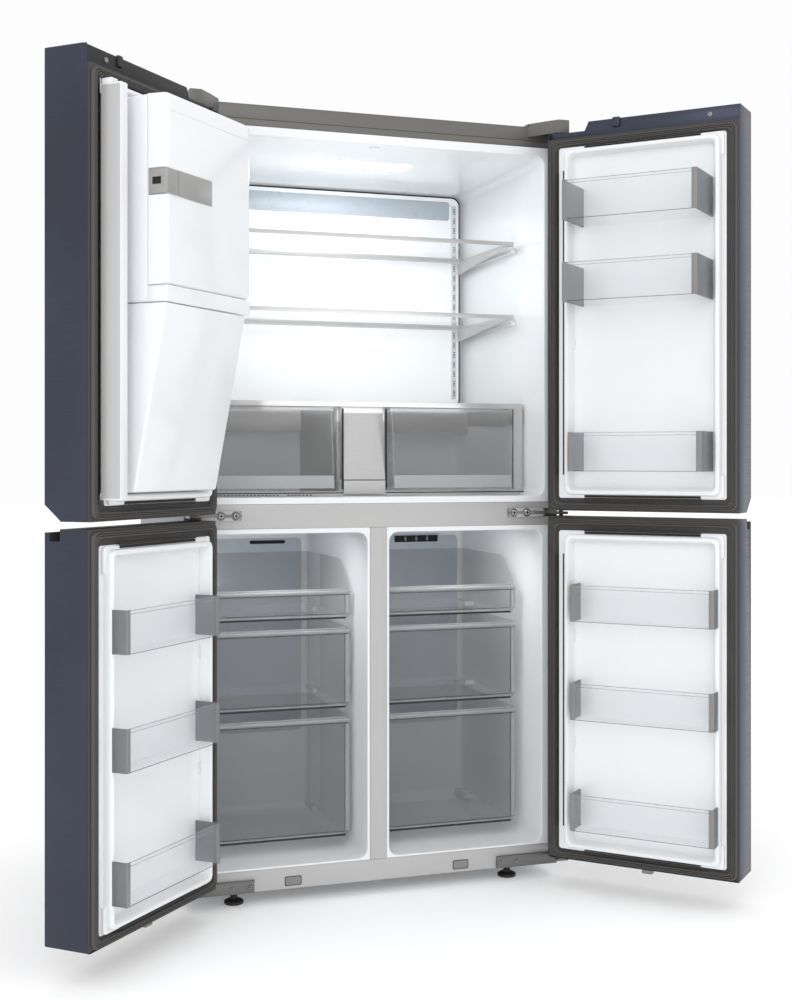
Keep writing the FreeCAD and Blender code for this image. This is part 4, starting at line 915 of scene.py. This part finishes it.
def makeBin(name, space, body, u, base, height, deep, nodes=()):
    wall = binSizes["wall"]
    rear = trayRings(u, (-27, deep), (base, base + height), wall, binSizes["cornerRadius"], 6)
    parts = [(ringPart(rear), clearStyrene)]
    # painted shade: the rim takes a greyer, more opaque copy of the clear styrene
    rim = [ring("xy", base + height - 0.2, inset(u, 0.2), (-26.8, deep - 0.2), 9),
           ring("xy", base + height + 1.2, inset(u, 0.2), (-26.8, deep - 0.2), 9),
           ring("xy", base + height + 1.2, inset(u, wall), (-26.8 + wall, deep - wall), 7),
           ring("xy", base + height - 0.2, inset(u, wall), (-26.8 + wall, deep - wall), 7)]
    parts.append((ringPart(rim, loop=True), clearRimShade))
    wide = binSizes["capWidth"]
    for low, high, flat in ((u[0] - 1.2, u[0] + wide, u[0] + 3.4), (u[1] - wide, u[1] + 1.2, u[1] - 3.4)):
        panel = sorted((flat, low if flat < (low + high) / 2 else high))
        for across, depth, coat in ((panel, (-22, deep), endSmoke),
                                    ((low, high), (deep - 2, deep + 1.2), capGrey)):
            shape = ringPart([ring("xy", base + 1, across, depth, 1.6),
                              ring("xy", base + height + 1.8, across, depth, 1.6)])
            parts.append((shape, coat))
    # painted shade: a darker smoky line at the foot and a greyer clear line near the top, across the bin's
    # front
    for low, line in ((base + 1.2, smokyShadeLine), (base + height - 7, clearRimShade)):
        parts.append((block((u[0] + wide, u[1] - wide), (deep - 0.4, deep + 0.6), (low, low + 1.1)), line))
    piece(name, parts, space, body, bevel=0.5, nodes=nodes)


def makeBins():
    for side, hand, space in ((-1, "left", leftDoor), (1, "right", rightDoor)):
        for index, base in enumerate((150, 405, 631)):
            nodes = [f"lower_{hand}_bins"] if index == 0 else ()
            makeBin(f"lower{hand.title()}Bin{index + 1}", space, f"lower_{hand}_door", (43, 376.5), base, 84,
                    56,
                    nodes)
    for index, (base, deep) in enumerate(((977, 91), (1360, 126), (1545, 126))):
        nodes = ["upper_right_bins"] if index == 0 else ()
        makeBin(f"upperRightBin{index + 1}", rightDoor, "upper_right_door", (61, 369), base, 88, deep, nodes)
    print("door bins made")


def makeIceMaker():
    body = "upper_left_door"
    u = (76, 390)
    shell = [ring("xz", -29.5, u, (1306, 1706), 8), ring("xz", 79.5, u, (1306, 1706), 8)]
    rings = shell + [ring("xz", 79.5, inset(u, 12), (1351, 1694), 6),
                     ring("xz", -10, inset(u, 16), (1355, 1690), 6)]
    band = [ring("xz", 78, u, (1306, 1338.3), 5), ring("xz", 122, u, (1306, 1338.3), 5),
            ring("xz", 123.6, inset(u, 1.5), (1307.5, 1337), 4)]
    piece("iceHousing", [(ringPart(rings), whiteHips), (ringPart(band), whiteHips)], leftDoor, body,
          bevel=1.2, nodes=["ice_housing"])
    slab = [ring("xz", 80.5, (76, 386), (1339, 1706), 2), ring("xz", 84, (76, 389), (1339, 1706), 3),
            ring("xz", 87, u, (1339, 1706), 4), ring("xz", 115, u, (1339, 1706), 8),
            ring("xz", 120, inset(u, 1), inset((1339, 1706), 1), 9),
            ring("xz", 123, inset(u, 3.5), inset((1339, 1706), 3.5), 9),
            ring("xz", 124, inset(u, 8), inset((1339, 1706), 8), 8)]
    latchRoom = block((70, 79.5), (83, 126), (1510, 1562))
    label = [ring("xz", 123.2, (115.6, 236), (1511, 1561), 2),
             ring("xz", 125.4, (115.6, 236), (1511, 1561), 2)]
    crease = [ring("xz", 123.4, (84, 382), (1672, 1674), 0.6),
              ring("xz", 124.6, (84, 382), (1672, 1674), 0.6)]
    piece("iceDoor", [(ringPart(slab), whiteHips)], leftDoor, "ice_door", bevel=0.5, nodes=["ice_door"],
          cutter=latchRoom)
    piece("iceDoorLabel", [(ringPart(label), labelGrey), (ringPart(crease), satinWhite)], leftDoor,
          "ice_door",
          bevel=0.3)
    refine("ice_latch", "iceLatch", labelGrey, 0.4)
    slot = [(block((75.6, 76.4), (92.2, 111.8), (1530.4, 1543.6)), darkGap)]
    piece("iceLatchSlot", slot, leftDoor, "ice_latch")
    outline = [(-29.5, 940), (50, 940), (122, 1305), (-29.5, 1305)]
    piece("iceChute", [(prism(outline, (76, 375)), whiteHips)], leftDoor, body, bevel=5, segments=4,
          nodes=["ice_chute"])
    bar = [
        (ringPart([ring("xz", 9, (24, 47), (926, 1720), 3), ring("xz", 55, (24, 47), (926, 1720), 3)]),
         satinWhite),
        (block((22, 24.5), (10.5, 53.5), (930, 1716)), railSteel),
        (ringPart([ring("xz", 11, (24, 45.5), (1718, 1730), 3), ring("xz", 34, (24, 45.5), (1718, 1730), 3)]),
         satinWhite),
        (rod((22, 10, 919.4), (22, 10, 940), 1.6), screwSteel),
        (rod((22, 10, 1700), (22, 10, 1735.2), 1.6), screwSteel),
    ]
    piece("flipMullion", bar, leftDoor, "flip_mullion", bevel=1.2, nodes=["flip_mullion"])
    refine("dispenser", "dispenserHousing", blackGlass, 1.0, 2)
    refine("dispenser_paddle", "dispenserPaddle", darkAbs, 1.5, 3)
    print("ice maker and dispenser made")


# ------------------------------------------------------------ stage
view = {"place": (-1.0191, -3.22419, 1.00107), "turn": 18.73, "lens": 51.1, "shift": -0.0389, "exposure": 0.0}


def makeStage():
    camera = bpy.data.objects.new("camera", bpy.data.cameras.new("camera"))
    bpy.context.scene.collection.objects.link(camera)
    camera.data.sensor_width = 36
    camera.data.lens = view["lens"]
    camera.data.shift_y = view["shift"]
    camera.location = view["place"]
    camera.rotation_euler = (math.radians(90), 0, -math.radians(view["turn"]))
    bpy.context.scene.camera = camera
    mesh = bpy.data.meshes.new("floor")
    mesh.from_pydata([(-30, -30, 0), (30, -30, 0), (30, 30, 0), (-30, 30, 0)], [], [(0, 1, 2, 3)])
    floor = bpy.data.objects.new("floor", mesh)
    bpy.context.scene.collection.objects.link(floor)
    mesh.materials.append(finish("paleFloor", "#fbfbfb", 0.6, glow=0.16, grain=(40, 40, 40), mottle=0.01))
    world = bpy.data.worlds.new("studio")
    world.use_nodes = True
    world.node_tree.nodes["Background"].inputs["Color"].default_value = linear("#fdfdfe")
    world.node_tree.nodes["Background"].inputs["Strength"].default_value = 1.0
    bpy.context.scene.world = world
    for name, place, size, power, target in (
        ("keyLight", (-1.9, -4.1, 2.9), 2.4, 39, (0, 0, 1.0)),
        ("sideLight", (4.0, -2.2, 2.2), 2.4, 9, (0, 0, 1.0)),
        ("fridgeLamp", (0, 0.16, 1.72), 0.26, 0.7, (0, 0.2, 0.9)),
        ("fridgeFill", (0, -0.1, 1.25), 0.5, 0.75, (0, 0.3, 1.6)),
        ("leftFreezerLamp", (-0.22, -0.03, 0.826), 0.12, 0.7, (-0.22, 0.25, 0.2)),
        ("rightFreezerLamp", (0.22, -0.03, 0.826), 0.12, 0.7, (0.22, 0.25, 0.2)),
    ):
        light = bpy.data.objects.new(name, bpy.data.lights.new(name, "AREA"))
        light.data.size = size
        light.data.energy = power
        light.location = place
        light.rotation_euler = (Vector(target) - Vector(place)).to_track_quat("-Z", "Y").to_euler()
        bpy.context.scene.collection.objects.link(light)
    bpy.context.scene.view_settings.view_transform = "Standard"
    bpy.context.scene.view_settings.exposure = view["exposure"]
    bpy.context.scene.cycles.transparent_max_bounces = 32
    print("stage made")


makeLiners()
makeRails()
makeCabinetShell()
makeFridgeInterior()
makeDrawers()
makeDoors()
makeBins()
makeIceMaker()
makeStage()
